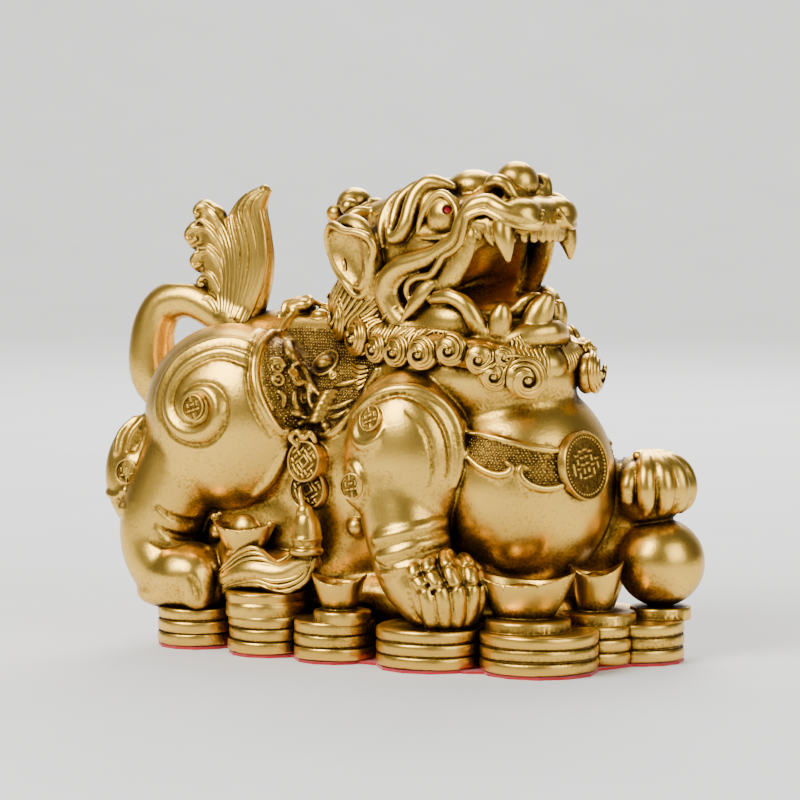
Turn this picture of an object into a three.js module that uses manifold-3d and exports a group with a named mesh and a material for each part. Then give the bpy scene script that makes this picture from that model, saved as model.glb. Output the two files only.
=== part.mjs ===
// A small cast brass pixiu on a bed of stacked coins, with a glued felt sole and two set eye stones.
// Millimetres, +Z up, +X towards the head, +Y to the figure's own left. The origin is under the middle of the sole.

import * as THREE from "three";
import { mergeVertices } from "three/addons/utils/BufferGeometryUtils.js";
import Module from "manifold-3d";

const wasm = await Module();
wasm.setup();
const { Manifold, Mesh } = wasm;

// Driving dimensions
const FIGURE_HEIGHT = 135; // from the coin tops to the top of the nose
const FELT_THICKNESS = 0.8;
const FELT_INSET = 0.4; // the sole is cut back this far from the casting's edge
const GLUE_FILM = 0.2; // between the sole and the casting
const COIN_THICKNESS = 3.8; // a coin of the bed
const COINS_IN_A_STACK = 3;
const GROOVE_DEPTH = 0.9; // the seam between two coins of a stack
const GROOVE_WIDTH = 1.1;
const GEM_RADIUS = 1.2;
const GEM_HEIGHT = 1.4;
const GEM_CLEARANCE = 0.15; // round the stone and under it

const BODY_FACES = 2000; // the most facets of the bare body
const BEAST_FACES = 5900; // with its face, toes and hair
const CASTING_FACES = 9800; // with its shallow carving and the bed

// The figure is drawn at a height of 135 and follows FIGURE_HEIGHT: SHARE is one such millimetre.
const SHARE = FIGURE_HEIGHT / 135;
const CASTING_BOTTOM = FELT_THICKNESS + GLUE_FILM;
const COIN_TOP = CASTING_BOTTOM + COINS_IN_A_STACK * COIN_THICKNESS;

const BRASS = new THREE.MeshStandardMaterial({ color: 0xb08d3c, metalness: 1, roughness: 0.38 });
const FELT = new THREE.MeshStandardMaterial({ color: 0xb01217, metalness: 0, roughness: 0.95 });
const RED_GLASS = new THREE.MeshStandardMaterial({ color: 0xa00c18, metalness: 0, roughness: 0.08 });

const X = new THREE.Vector3(1, 0, 0);
const Y = new THREE.Vector3(0, 1, 0);
const Z = new THREE.Vector3(0, 0, 1);
const vec = (x, y, z) => new THREE.Vector3(x, y, z);

// Solids from three.js geometry, and back

function solid(geometry) {
  const bare = geometry.index ? geometry.toNonIndexed() : geometry.clone();
  bare.deleteAttribute("normal");
  bare.deleteAttribute("uv");
  const merged = mergeVertices(bare, 1e-4);
  const made = new Manifold(
    new Mesh({
      numProp: 3,
      vertProperties: merged.attributes.position.array,
      triVerts: new Uint32Array(merged.index.array),
    }),
  );
  if (made.volume() <= 0) throw new Error("the faces of a shape point inwards");
  return made;
}

function join(solids) {
  if (solids.length === 1) return solids[0];
  const half = Math.ceil(solids.length / 2);
  return join(solids.slice(0, half)).add(join(solids.slice(half)));
}

// Pockets that joined forms close in are filled
function withoutPockets(shape) {
  return join(shape.decompose().filter((piece) => piece.volume() > 0));
}

// The same solid with fewer facets. Edges shrink to a point, the one that changes the form least first, until
// "faces" are left.
function thinned(shape, faces) {
  const { numProp, vertProperties, triVerts } = shape.getMesh();
  const places = Array.from({ length: vertProperties.length / numProp }, (_, i) =>
    vec(...vertProperties.subarray(i * numProp, i * numProp + 3)),
  );
  const triangles = Array.from({ length: triVerts.length / 3 }, (_, i) => [...triVerts.subarray(3 * i, 3 * i + 3)]);
  const around = places.map(() => new Set());
  const planes = places.map(() => []);
  const crossOf = (a, b, c) => b.clone().sub(a).cross(c.clone().sub(a));
  triangles.forEach((corners, t) => {
    const cross = crossOf(...corners.map((i) => places[i]));
    const area = cross.length();
    const normal = cross.normalize();
    const plane = { normal, depth: -normal.dot(places[corners[0]]), area };
    for (const i of corners) {
      around[i].add(t);
      if (area > 0) planes[i].push(plane);
    }
  });
  const quadric = planes.map((list) => {
    const q = new Float64Array(11);
    for (const { normal: n, depth: d, area } of list) {
      const terms = [n.x * n.x, n.x * n.y, n.x * n.z, n.x * d, n.y * n.y, n.y * n.z, n.y * d, n.z * n.z, n.z * d, d * d, 1];
      terms.forEach((term, k) => (q[k] += term * area));
    }
    return q;
  });
  const misfit = (q, { x, y, z }) =>
    (q[0] * x * x + 2 * q[1] * x * y + 2 * q[2] * x * z + 2 * q[3] * x + q[4] * y * y + 2 * q[5] * y * z +
      2 * q[6] * y + q[7] * z * z + 2 * q[8] * z + q[9]) / Math.max(q[10], 1e-9) ** 0.4;
  const stamp = new Uint32Array(places.length);
  const heap = [];
  const swap = (i, j) => ([heap[i], heap[j]] = [heap[j], heap[i]]);
  const push = (entry) => {
    let i = heap.push(entry) - 1;
    while (i > 0 && heap[i].cost < heap[(i - 1) >> 1].cost) {
      swap(i, (i - 1) >> 1);
      i = (i - 1) >> 1;
    }
  };
  const pop = () => {
    const top = heap[0];
    const last = heap.pop();
    if (heap.length) {
      heap[0] = last;
      for (let i = 0; ; ) {
        const child = 2 * i + 1;
        if (child >= heap.length) break;
        const least = child + 1 < heap.length && heap[child + 1].cost < heap[child].cost ? child + 1 : child;
        if (heap[i].cost <= heap[least].cost) break;
        swap(i, least);
        i = least;
      }
    }
    return top;
  };
  const offer = (a, b) => {
    const sum = quadric[a].map((value, k) => value + quadric[b][k]);
    const matrix = new THREE.Matrix3().set(sum[0], sum[1], sum[2], sum[1], sum[4], sum[5], sum[2], sum[5], sum[7]);
    const middle = places[a].clone().lerp(places[b], 0.5);
    const choices = [places[a], places[b], middle];
    if (Math.abs(matrix.determinant()) > 1e-4 * sum[10] ** 3) {
      const best = vec(-sum[3], -sum[6], -sum[8]).applyMatrix3(matrix.invert());
      if (best.distanceTo(middle) < places[a].distanceTo(places[b])) choices.push(best);
    }
    const errors = choices.map((point) => misfit(sum, point));
    const cost = Math.min(...errors);
    const point = choices[errors.indexOf(cost)].clone();
    push({ cost: cost + 1e-7 * places[a].distanceToSquared(places[b]), a, b, point, sum, stamps: [stamp[a], stamp[b]] });
  };
  const neighbours = (i) => new Set([...around[i]].flatMap((t) => triangles[t]).filter((j) => j !== i));
  places.forEach((_, i) => neighbours(i).forEach((j) => i < j && offer(i, j)));
  let left = triangles.length;
  while (heap.length && left > faces) {
    const { a, b, point, sum, stamps } = pop();
    if (stamps[0] !== stamp[a] || stamps[1] !== stamp[b]) continue;
    const shared = [...around[a]].filter((t) => around[b].has(t));
    const nearB = neighbours(b);
    const common = [...neighbours(a)].filter((j) => nearB.has(j));
    if (shared.length !== 2 || common.length !== 2) continue;
    const kept = [...around[a], ...around[b]].filter((t) => !shared.includes(t));
    const turns = kept.some((t) => {
      const before = triangles[t].map((i) => places[i]);
      const after = triangles[t].map((i) => (i === a || i === b ? point : places[i]));
      const [was, is] = [crossOf(...before), crossOf(...after)];
      const longest = Math.max(...after.map((p, k) => p.distanceToSquared(after[(k + 1) % 3])));
      return is.length() < 0.03 * longest || is.dot(was) < 0.3 * is.length() * was.length();
    });
    if (turns) continue;
    places[a] = point;
    quadric[a] = sum;
    for (const t of shared) for (const i of triangles[t]) around[i].delete(t);
    for (const t of around[b]) {
      triangles[t] = triangles[t].map((i) => (i === b ? a : i));
      around[a].add(t);
    }
    around[b].clear();
    for (const t of shared) triangles[t] = null;
    left -= 2;
    stamp[b] += 1;
    stamp[a] += 1;
    neighbours(a).forEach((j) => offer(a, j));
  }
  const corners = triangles.filter(Boolean).flatMap((list) => list.map((i) => places[i]));
  return solid(new THREE.BufferGeometry().setFromPoints(corners));
}

function meshOf(name, shape, material) {
  const { numProp, vertProperties, triVerts } = shape.getMesh();
  const geometry = new THREE.BufferGeometry();
  const places = new THREE.InterleavedBuffer(vertProperties, numProp);
  geometry.setAttribute("position", new THREE.InterleavedBufferAttribute(places, 3, 0));
  geometry.setIndex(new THREE.BufferAttribute(triVerts, 1));
  const made = geometry.toNonIndexed();
  made.computeVertexNormals();
  const mesh = new THREE.Mesh(made, material);
  mesh.name = name;
  return mesh;
}

// The frame that turns +Z to an axis, with +X kept as near as it can be to a given direction
function facing(axis, across = X) {
  const up = axis.clone().normalize();
  const near = Math.abs(up.dot(across)) > 0.9 ? Z : across;
  const side = vec(0, 0, 0).crossVectors(up, near).normalize();
  const front = vec(0, 0, 0).crossVectors(side, up);
  return new THREE.Matrix4().makeBasis(front, side, up);
}

// An ellipsoid, with its own x, y and z turned to a frame
function egg(centre, radii, { frame = null, sides = 12 } = {}) {
  const shape = new THREE.SphereGeometry(1, sides, Math.round(sides * 0.55));
  shape.rotateX(Math.PI / 2);
  shape.scale(...radii);
  if (frame) shape.applyMatrix4(frame);
  return solid(shape.translate(centre.x, centre.y, centre.z));
}

// A tapering limb through stations [point, half width, half thickness], smooth between them, with round ends.
// The thickness is measured towards "up", and the width across it. A slim limb ends in plain points.
function limb(stations, { up = Z, sides = 8, steps = 1, round = 1 } = {}) {
  const path = new THREE.CatmullRomCurve3(stations.map(([point]) => point), false, "centripetal");
  const spans = stations.length - 1;
  const rings = [];
  const ring = (t, shift, scale) => {
    const at = Math.min(spans - 1e-9, t * spans);
    const [from, to] = [stations[Math.floor(at)], stations[Math.floor(at) + 1]];
    const blend = THREE.MathUtils.smoothstep(at % 1, 0, 1) * 0.5 + (at % 1) * 0.5;
    const width = THREE.MathUtils.lerp(from[1], to[1], blend);
    const thick = THREE.MathUtils.lerp(from[2] ?? from[1], to[2] ?? to[1], blend);
    const along = path.getTangent(t);
    const across = vec(0, 0, 0).crossVectors(along, up).normalize();
    const over = vec(0, 0, 0).crossVectors(across, along);
    const centre = path.getPoint(t).addScaledVector(along, (shift * round * (width + thick)) / 2);
    rings.push(
      Array.from({ length: sides }, (_, k) => {
        const turn = (2 * Math.PI * (k + 0.5)) / sides;
        return centre
          .clone()
          .addScaledVector(across, Math.cos(turn) * width * scale)
          .addScaledVector(over, Math.sin(turn) * thick * scale);
      }),
    );
    return centre;
  };
  const tail = ring(0, -1, 0.001);
  rings.pop();
  if (sides > 6) ring(0, -0.72, 0.68);
  for (let i = 0; i <= spans * steps; i++) ring(i / (spans * steps), 0, 1);
  if (sides > 6) ring(1, 0.72, 0.68);
  const tip = ring(1, 1, 0.001);
  rings.pop();
  const corners = [];
  for (let i = 0; i + 1 < rings.length; i++)
    for (let k = 0; k < sides; k++) {
      const next = (k + 1) % sides;
      const [a, b, c, d] = [rings[i][k], rings[i][next], rings[i + 1][next], rings[i + 1][k]];
      corners.push(a, c, b, a, d, c);
    }
  for (let k = 0; k < sides; k++) {
    const next = (k + 1) % sides;
    corners.push(tail, rings[0][k], rings[0][next]);
    corners.push(tip, rings.at(-1)[next], rings.at(-1)[k]);
  }
  return solid(new THREE.BufferGeometry().setFromPoints(corners));
}

// A round plate or turned shape: a profile of [radius, height] about an axis
function turned(profile, centre, axis = Z, sides = 16) {
  const lathe = new THREE.LatheGeometry(
    profile.map(([r, h]) => new THREE.Vector2(r, h)),
    sides,
  );
  lathe.rotateX(Math.PI / 2).applyMatrix4(facing(axis));
  return solid(lathe.translate(centre.x, centre.y, centre.z));
}

// A snail curl of hair that lies on a surface: it winds in from its rim and rises towards its eye
function curl(centre, normal, size, { start = 0, turns = 1.3, hand = 1, across = X, sides = 3 } = {}) {
  const frame = facing(normal, across);
  const steps = Math.round(turns * 5);
  const stations = Array.from({ length: steps + 1 }, (_, i) => {
    const share = i / steps;
    const angle = start + hand * 2 * Math.PI * turns * share;
    const reach = size * (0.72 - 0.66 * share);
    const place = vec(reach * Math.cos(angle), reach * Math.sin(angle), size * (0.1 + 0.4 * share));
    return [place.applyMatrix4(frame).add(centre), size * (0.4 - 0.12 * share)];
  });
  return limb(stations, { up: normal, sides, steps: 1, round: 0.6 });
}

// Places in the figure: x forward, y to its left and z up from the coin tops
const at = (x, y, z) => vec(x * SHARE, y * SHARE, COIN_TOP + z * SHARE);
const len = (...sizes) => sizes.map((size) => size * SHARE);
const stations = (rows) => rows.map(([x, y, z, ...half]) => [at(x, y, z), ...len(...half)]);
const mirrored = (rows) => rows.map(([x, y, ...rest]) => [x, -y, ...rest]);

// Places in the head: f forward, s to its right and z as above. It is turned to the figure's right.
const HEAD_TURN = THREE.MathUtils.degToRad(13);
const HEAD_AT = { x: 26, y: -2 };
const headPoint = (f, s, z) =>
  at(
    HEAD_AT.x + f * Math.cos(HEAD_TURN) - s * Math.sin(HEAD_TURN),
    HEAD_AT.y - f * Math.sin(HEAD_TURN) - s * Math.cos(HEAD_TURN),
    z,
  );
const HEAD_FRAME = new THREE.Matrix4().makeRotationZ(-HEAD_TURN);
const headDirection = (f, s, z) => vec(f, -s, z).applyMatrix4(HEAD_FRAME).normalize();
const headStations = (rows) => rows.map(([f, s, z, ...half]) => [headPoint(f, s, z), ...len(...half)]);
const otherSide = (rows) => rows.map(([f, s, ...rest]) => [f, -s, ...rest]);
const bothSides = (make) => [make(1), make(-1)];

// The rounded masses of the trunk: [x, y, z, half length, half width, half height]
const RUMP = [-50, 0, 52, 34, 30, 34];
const BELLY = [-14, 0, 42, 44, 29, 42];
const CHEST = [38, 0, 40, 26, 28, 31];
const NECK = [20, -3, 72, 35, 23, 17];
const UNDER = [-35, 0, 20, 48, 28, 24];
const HAUNCH = [-53, -21, 57, 30, 20.5, 28.5];
const SHOULDER = [12, -25, 49, 20, 16, 25];
const LEFT_SHOULDER = [21, -25, 45, 20, 15, 23]; // on the left, so its y is turned round
const mass = ([x, y, z, ...radii], sides = 16) => egg(at(x, y, z), len(...radii), { sides });

// How far out, to the right, the outermost of some masses reaches at x, z
function skin(x, z, masses) {
  const reach = masses.map(([cx, cy, cz, rx, ry, rz]) => {
    const rest = 1 - ((x - cx) / rx) ** 2 - ((z - cz) / rz) ** 2;
    return rest > 0 ? -cy + ry * Math.sqrt(rest) : -cy;
  });
  return Math.max(...reach);
}

// A rounded ridge drawn on the side of some masses, through [x, z, half width]
function ridge(rows, masses, side = 1, options = {}) {
  const drawn = rows.map(([x, z, half]) => [x, -side * skin(x, z, masses), z, half]);
  return limb(stations(drawn), { up: Y, sides: 4, ...options });
}

// Trunk

function trunk() {
  const spine = [[-72, 0, 72, 9], [-55, 0, 78, 10], [-30, 0, 79, 9], [-8, 0, 77, 9]];
  return [
    mass(RUMP),
    mass(BELLY),
    mass(CHEST, 18),
    mass(NECK, 14),
    mass(UNDER, 14),
    limb(stations(spine), { sides: 8 }),
  ];
}

// The haunches, each with a ridge that winds in to a medal

// The ridge's middle line turns round the medal, in degrees from its start under the saddle cloth
const SPIRAL = { x: -53.2, z: 61, medal: 3.8, from: 46, to: 440, start: 13.6, fade: 95, rest: 6.9 };
const MEDAL_PROFILE = (radius) => [[0, -2], [radius, -2], [radius, 0.8], [radius - 0.7, 1.2], [0, 1.2]].map((p) => len(...p));

function haunchMass(side) {
  const [x, y, z, ...radii] = HAUNCH;
  return egg(at(x, side * y, z), len(...radii), { sides: 16 });
}

function haunchSpiral(side) {
  const masses = [HAUNCH, RUMP];
  const winding = Array.from({ length: 16 }, (_, i) => {
    const turn = THREE.MathUtils.lerp(SPIRAL.from, SPIRAL.to, i / 15);
    const reach = SPIRAL.rest + SPIRAL.start * Math.exp((SPIRAL.from - turn) / SPIRAL.fade);
    const angle = THREE.MathUtils.degToRad(turn);
    const half = 1.7 + 0.9 * Math.sin((Math.PI * i) / 15);
    return [SPIRAL.x + reach * Math.cos(angle), SPIRAL.z + reach * Math.sin(angle), half];
  });
  const out = skin(SPIRAL.x, SPIRAL.z, masses);
  return [
    ridge(winding, masses, side),
    turned(MEDAL_PROFILE(SPIRAL.medal), at(SPIRAL.x, -side * out, SPIRAL.z), vec(-0.02, -side, 0.2), 10),
  ];
}

// Hind legs, with three toes and a flame at the hock

const HIND_LEG = [[-69, -25, 41, 14], [-74, -28, 29, 13], [-75, -30, 18, 11.6], [-69, -32, 10, 10.8], [-59, -33, 8.5, 9.6]];
const HIND_TOES = [[-28, -0.5], [-34.5, 1.5], [-40.5, 0]];

function hindLegMass(side) {
  return limb(stations(side > 0 ? HIND_LEG : mirrored(HIND_LEG)), { up: X, sides: 10 });
}

function hindToes(side) {
  return HIND_TOES.map(([y, lead]) => {
    const rows = [[-60 + lead, y, 12, 4], [-52 + lead, y - 1, 9.5, 3.8], [-48.5 + lead, y - 1.5, 3.6, 3.2]];
    return limb(stations(side > 0 ? rows : mirrored(rows)), { up: Y, sides: 6 });
  });
}

// The flame: two flat tongues with a medal on them and a bead under them
function flame(side) {
  const tongues = [
    [[-84, -28, 31, 3, 4], [-87.5, -30, 39, 6, 4], [-86.5, -29, 48, 5, 3.6], [-79, -27, 57, 1.5, 2]],
    [[-87, -26, 33, 2, 3.5], [-91, -26, 42, 3, 3.5], [-87, -25, 52, 1.5, 2]],
  ];
  return [
    ...tongues.map((rows) => limb(stations(side > 0 ? rows : mirrored(rows)), { up: Y, sides: 6 })),
    turned(MEDAL_PROFILE(3.8), at(-87.4, -side * 33, 39.5), vec(-0.5, -side, 0.1), 10),
    egg(at(-84, -side * 34.5, 28.5), len(3, 3, 3), { sides: 6 }),
  ];
}

// Front legs: the right one stands, and the left one reaches out to a ball

const RIGHT_LEG = [[12, -27, 38, 14], [15, -30, 26, 12.5], [19, -32, 15, 11], [26, -34, 8, 9.5]];
const LEFT_LEG = [[24, 27, 44, 15], [40, 27, 36, 13], [54, 24.5, 34, 11], [65, 22, 38, 10]];
const BALL = [71.6, 21.6, 16, 13.2];

const toeLimbs = (toes, up) => toes.map((rows) => limb(stations(rows), { up, sides: 6, round: 0.8 }));

function rightLegMasses() {
  return [
    mass(SHOULDER),
    limb(stations(RIGHT_LEG), { up: X, sides: 10 }),
    egg(at(28, -33, 9), len(11, 9.5, 9), { sides: 12 }),
  ];
}

function rightToes() {
  const toes = [0, 1, 2, 3, 4].map((k) => {
    const [x, y] = [22 + 4.4 * k, -43.6 + 0.5 * k * k + 0.6 * k];
    return [
      [x - 3, y + 6, 17, 2.7],
      [x + 0.5, y + 2.5, 14.5, 3.1],
      [x + 2.2, y, 9, 3],
      [x + 2.5, y - 0.4, 2.4, 2.7],
    ];
  });
  return toeLimbs(toes, Y);
}

// Folds of skin under the shoulder
function rightFolds() {
  return [[16, 27.5, 12.6], [17.5, 21.5, 12]].map(([x, z, reach]) => {
    const rows = Array.from({ length: 5 }, (_, i) => {
      const turn = THREE.MathUtils.degToRad(-95 + 32 * i);
      return [x + reach * Math.cos(turn), -31 + reach * Math.sin(turn), z + 3.5 * Math.cos(turn), 1.7];
    });
    return limb(stations(rows), { sides: 4 });
  });
}

function leftLegMasses() {
  const [x, y, z, ...radii] = LEFT_SHOULDER;
  return [
    egg(at(x, -y, z), len(...radii), { sides: 14 }),
    limb(stations(LEFT_LEG), { sides: 10 }),
    egg(at(68, 21.6, 38), len(10.5, 10.5, 8.5), { sides: 10 }),
  ];
}

function leftToes() {
  const toes = [0, 1, 2, 3, 4].map((k) => {
    const turn = THREE.MathUtils.degToRad(-68 + 32 * k);
    const reach = (r) => [68.5 + r * Math.cos(turn), 21.6 + r * Math.sin(turn)];
    return [
      [...reach(1.5), 46, 2.6],
      [...reach(7), 45, 3.1],
      [...reach(11.4), 39.5, 3],
      [...reach(12.4), 33, 2.4],
    ];
  });
  return toeLimbs(toes, Z);
}

function ball() {
  const [x, y, z, radius] = BALL;
  return egg(at(x, y, z), len(radius, radius, radius), { sides: 16 });
}

// Each shoulder has a raised rim, and medals with a crescent under them down its rear edge

const RIM = { x: 2, z: 1, wide: 17, high: 19.2, from: 128, to: -34 }; // an arc about the shoulder's middle
const SHOULDER_MEDALS = [[-4, 11.6, 4, -150], [-12, -9.5, 3.8, 10]]; // [x, z, radius, where its crescent lies]

function shoulderDress(side) {
  const shape = side > 0 ? SHOULDER : LEFT_SHOULDER;
  const [cx, , cz, rx, ry, rz] = shape;
  const rim = Array.from({ length: 9 }, (_, i) => {
    const turn = THREE.MathUtils.degToRad(THREE.MathUtils.lerp(RIM.from, RIM.to, i / 8));
    return [cx + RIM.x + RIM.wide * Math.cos(turn), cz + RIM.z + RIM.high * Math.sin(turn), i % 8 ? 1.8 : 1];
  });
  const medals = SHOULDER_MEDALS.map(([x, z, radius, crescent]) => {
    const place = at(cx + x, -side * skin(cx + x, cz + z, [shape, BELLY]), cz + z);
    const axis = vec(x / rx, (-side * ry) / rx, z / rz);
    const frame = facing(axis, X);
    const arc = Array.from({ length: 5 }, (_, i) => {
      const turn = THREE.MathUtils.degToRad(crescent + 50 * (i - 2)) * side;
      const point = vec(Math.cos(turn), Math.sin(turn), 0).multiplyScalar((radius + 1.4) * SHARE);
      return [point.applyMatrix4(frame).add(place), ...len(i % 4 ? 1.9 : 0.8)];
    });
    const medal = turned(MEDAL_PROFILE(radius), place, axis, 10);
    return side > 0 ? [medal, limb(arc, { up: axis, sides: 4 })] : [medal];
  });
  return [ridge(rim, [shape, CHEST, BELLY], side), ...medals.flat()];
}

// Head: the skull and jaws, with the mouth cut out of them

const HEAD_MASSES = [
  [-13, 0, 110, 22, 19, 16],
  [6, 0, 119.5, 18.5, 17.5, 8.5],
  [-12, 0, 100, 16, 20, 17],
  [4, 0, 84, 15.5, 14.5, 8.5],
];
const MOUTH = [[-6, 0, 99, 14, 5], [8, 0, 99.5, 15.5, 12], [26, 0, 100, 20, 15.5]];
const UPPER_LIP = [
  [20.5, 1, 122, 1.6], [22.8, 6.5, 118.4, 2.1], [21.5, 12.5, 117.6, 2.4], [17, 16.5, 120, 2.6], [11.5, 18, 121, 2.6],
  [8, 18.6, 117, 2.4], [5.5, 19.2, 111, 2.3], [0, 20.4, 106.6, 2.2], [-5, 21.2, 102.5, 2], [-11, 21.4, 100, 1.8],
  [-13, 21, 95, 1.4],
];
const LOWER_LIP = [
  [20, -1, 90, 3], [18.5, 5, 89, 3], [15.5, 10.5, 85, 2.9], [12.4, 14.6, 85, 2.7], [9.5, 17, 90, 2.5],
  [5, 19, 95, 2.3], [-1, 20.4, 95.8, 1.8],
];
const CHEEK = [
  [2, 18.5, 108.5, 3.4], [-6, 20, 108, 4.6], [-14, 21, 106, 5.4], [-20, 21.5, 99.5, 5.4], [-20.5, 20.5, 91, 5],
  [-14, 19, 85, 4.8], [-6, 18, 86, 4.4],
];

function headMasses() {
  const solids = HEAD_MASSES.map(([f, s, z, ...radii], i) =>
    egg(headPoint(f, s, z), len(...radii), { frame: HEAD_FRAME, sides: i ? 12 : 14 }),
  );
  const mouth = limb(headStations(MOUTH), { sides: 12, round: 0.5 });
  return join(solids).subtract(mouth);
}

function face(side) {
  const flip = side > 0 ? (rows) => rows : otherSide;
  const rolls = (rows, options) => limb(headStations(flip(rows)), { sides: 4, ...options });
  return [
    rolls(UPPER_LIP),
    rolls(LOWER_LIP),
    rolls(CHEEK, { up: vec(0, -side, 0.1), sides: 6 }),
    rolls([[-2, 12, 129, 2.2], [-9, 15, 129, 3], [-14, 18, 121, 3.4], [-15.5, 20, 112, 3.2], [-20, 20.5, 110, 2.6],
      [-22.5, 20, 114, 2]]),
    rolls([[-12, 11, 129, 1.6], [-19, 15, 123, 2], [-22, 18, 117, 2], [-19.5, 20.5, 113, 1.8]]),
    egg(headPoint(-4.6, side * 12.4, 118.4), len(6.6, 6, 6.8), { sides: 12 }),
    rolls([[-11.5, 18, 113.5, 1.1], [-9, 18.4, 121, 1.4], [-3.5, 17, 125.6, 1.5], [2.5, 15.5, 122.5, 1.4],
      [4, 16, 115.5, 1.2]]),
    rolls([[-9.5, 18.6, 112, 1.1], [-3, 19, 110.5, 1.3], [4, 17.5, 114, 1.1]]),
    rolls([[9, 5, 124.5, 2.2], [8.5, 9.5, 126, 2.2], [11.5, 10.6, 124, 2.1], [15, 8, 122, 1.9]]),
    rolls([[18.5, 13.6, 116, 3], [19.5, 14, 111.5, 2.3], [20.3, 13.6, 107.2, 0.9]], { up: X }),
    rolls([[14, 15.5, 117.5, 2.8], [14.5, 15.5, 110.5, 1.8]], { up: X }),
    rolls([[-6, 18.8, 100, 2.6, 1.4], [-9.5, 20.5, 95, 2.4, 1.4], [-14.5, 21, 88.5, 0.8, 0.8]], { up: Y }),
    rolls([[16, 8, 86, 3], [17.5, 7.5, 91, 2.3], [18.5, 6.5, 95.5, 1.3]], { up: X }),
    rolls([[11, 12.5, 86, 2.4], [11.5, 12, 90.5, 1.5]], { up: X }),
  ];
}

function mouthAndNose() {
  const teeth = [-2, -1, 0, 1, 2].map((k) =>
    egg(headPoint(21 - 0.35 * k * k, 3.7 * k, 114.2), len(1.6, 1.9, 3), { frame: HEAD_FRAME, sides: 6 }),
  );
  return [
    ...teeth,
    egg(headPoint(11, 0, 128.6), len(6.6, 6.2, 6.4), { frame: HEAD_FRAME, sides: 12 }),
    egg(headPoint(-6.5, 0, 128.4), len(7.5, 7, 5), { frame: HEAD_FRAME, sides: 10 }),
    limb(headStations([[-12, 0, 88, 9, 4], [2, 0, 90, 9, 3.6], [12, 0, 90.5, 7, 3], [16.5, 0, 93.5, 4.5, 2.6]]), {
      sides: 8,
    }),
  ];
}

// The ears are cups that open to the side. The horn sweeps back to a cloud-shaped knob.

function ear(side) {
  const cup = limb(headStations([[-28, side * 20, 93, 4, 3], [-31, side * 22, 103, 8.5, 4.5],
    [-34, side * 22.5, 113, 10, 4.5], [-37, side * 22, 118, 7, 3]]), { up: Y, sides: 10 });
  const hollow = limb(headStations([[-29, side * 24.6, 95, 2, 2.6], [-31.5, side * 26.4, 104, 6.6, 4.2],
    [-34, side * 26.8, 112.5, 8, 4]]), { up: Y, sides: 10 });
  return cup.subtract(hollow);
}

function horn() {
  return [
    limb(headStations([[-14, 0, 122, 9, 6], [-28, 0, 119, 8.5, 6], [-42, 0, 115, 7, 5.5], [-53, 0, 118, 5, 4.5]]), {
      sides: 8,
    }),
    egg(headPoint(-57, 0, 122.5), len(6, 7, 5), { frame: HEAD_FRAME, sides: 10 }),
    ...bothSides((side) => egg(headPoint(-57, side * 7.5, 120.5), len(3.6, 3.6, 3.4), { sides: 8 })),
  ];
}

// Mane and beard: locks that hang from the jaw and the nape, each ending in a snail curl

// Curls of the right side [f, s, z, size, which way it winds]
const MANE_CURLS = [
  [-33, 23.5, 84.5, 6.4, 1], [-43, 19.5, 91, 5, -1], [-29, 25, 72.5, 5, 1], [-18, 26.5, 80, 5.6, 1],
  [-6, 27.6, 79.5, 5.8, 1], [5.5, 27.4, 80.6, 5.6, 1], [16, 25, 79, 5.8, 1], [22, 21.5, 73, 5, 1],
  [25, 17, 79.5, 4.4, -1], [29, 13, 72, 6.6, 1],
];
const NAPE_CURLS = [
  [-41, 19.5, 101.5, 5.4, 1], [-45.5, 13, 108.5, 5, -1], [-51, 9, 97, 6, 1], [-52.5, 0, 106, 5, 1],
  [-56, 0, 87, 6, -1], [-50, 12, 82, 5.6, 1],
];
// The roll of hair that carries the curls: [f, s, z, half height, half thickness]
const COLLAR = [
  [-50, 0, 86, 7, 7], [-47, 10, 86, 7, 7], [-38, 18, 84, 7.5, 7], [-20, 21, 79, 6.5, 6], [0, 22, 77.5, 6, 5.5],
  [14, 19.5, 76, 6, 5.5], [22, 12, 73.5, 6.5, 5.5], [25, 0, 72.5, 7, 5.5],
];
const NAPE = [[-14, 0, 112, 15, 13], [-31, 0, 106, 18, 14], [-40, 0, 94, 18, 12], [-42, 0, 82, 17, 9]];
const GOATEE = [[14, 0, 86, 7, 5], [20.5, 0, 81, 5, 5], [24.5, 0, 75, 3.2, 4], [27.5, 0, 70.5, 2, 3]];

function maneMasses() {
  return [
    limb(headStations(NAPE), { sides: 10 }),
    ...bothSides((side) => limb(headStations(side > 0 ? COLLAR : otherSide(COLLAR)), { up: vec(0.3, -0.9 * side, 0.3), sides: 8 })),
    limb(headStations(GOATEE), { up: X, sides: 8 }),
  ];
}

// Each curl lies on a round pad
function maneCurls(side) {
  return [...MANE_CURLS, ...NAPE_CURLS]
    .filter(([, s, , size]) => side > 0 || (s > 0 && size > 4.5))
    .flatMap(([f, s, z, size, hand]) => {
      const centre = headPoint(f, side * s, z);
      const out = headDirection((f + 10) * 0.05, (side * s) / 18, -0.1);
      const pad = [[0, -1], [1, -0.8], [0.95, 0], [0, 0.2]].map(([r, h]) => [r * size * SHARE, h * size * SHARE]);
      return [
        turned(pad, centre, out, 6),
        curl(centre, out, size * SHARE, { start: 0.2, hand: -hand * side, across: headDirection(1, 0, 0) }),
      ];
    });
}

// Tail: it loops up from the rump and ends in a tuft of flat flutes, with snail curls at the back

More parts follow.
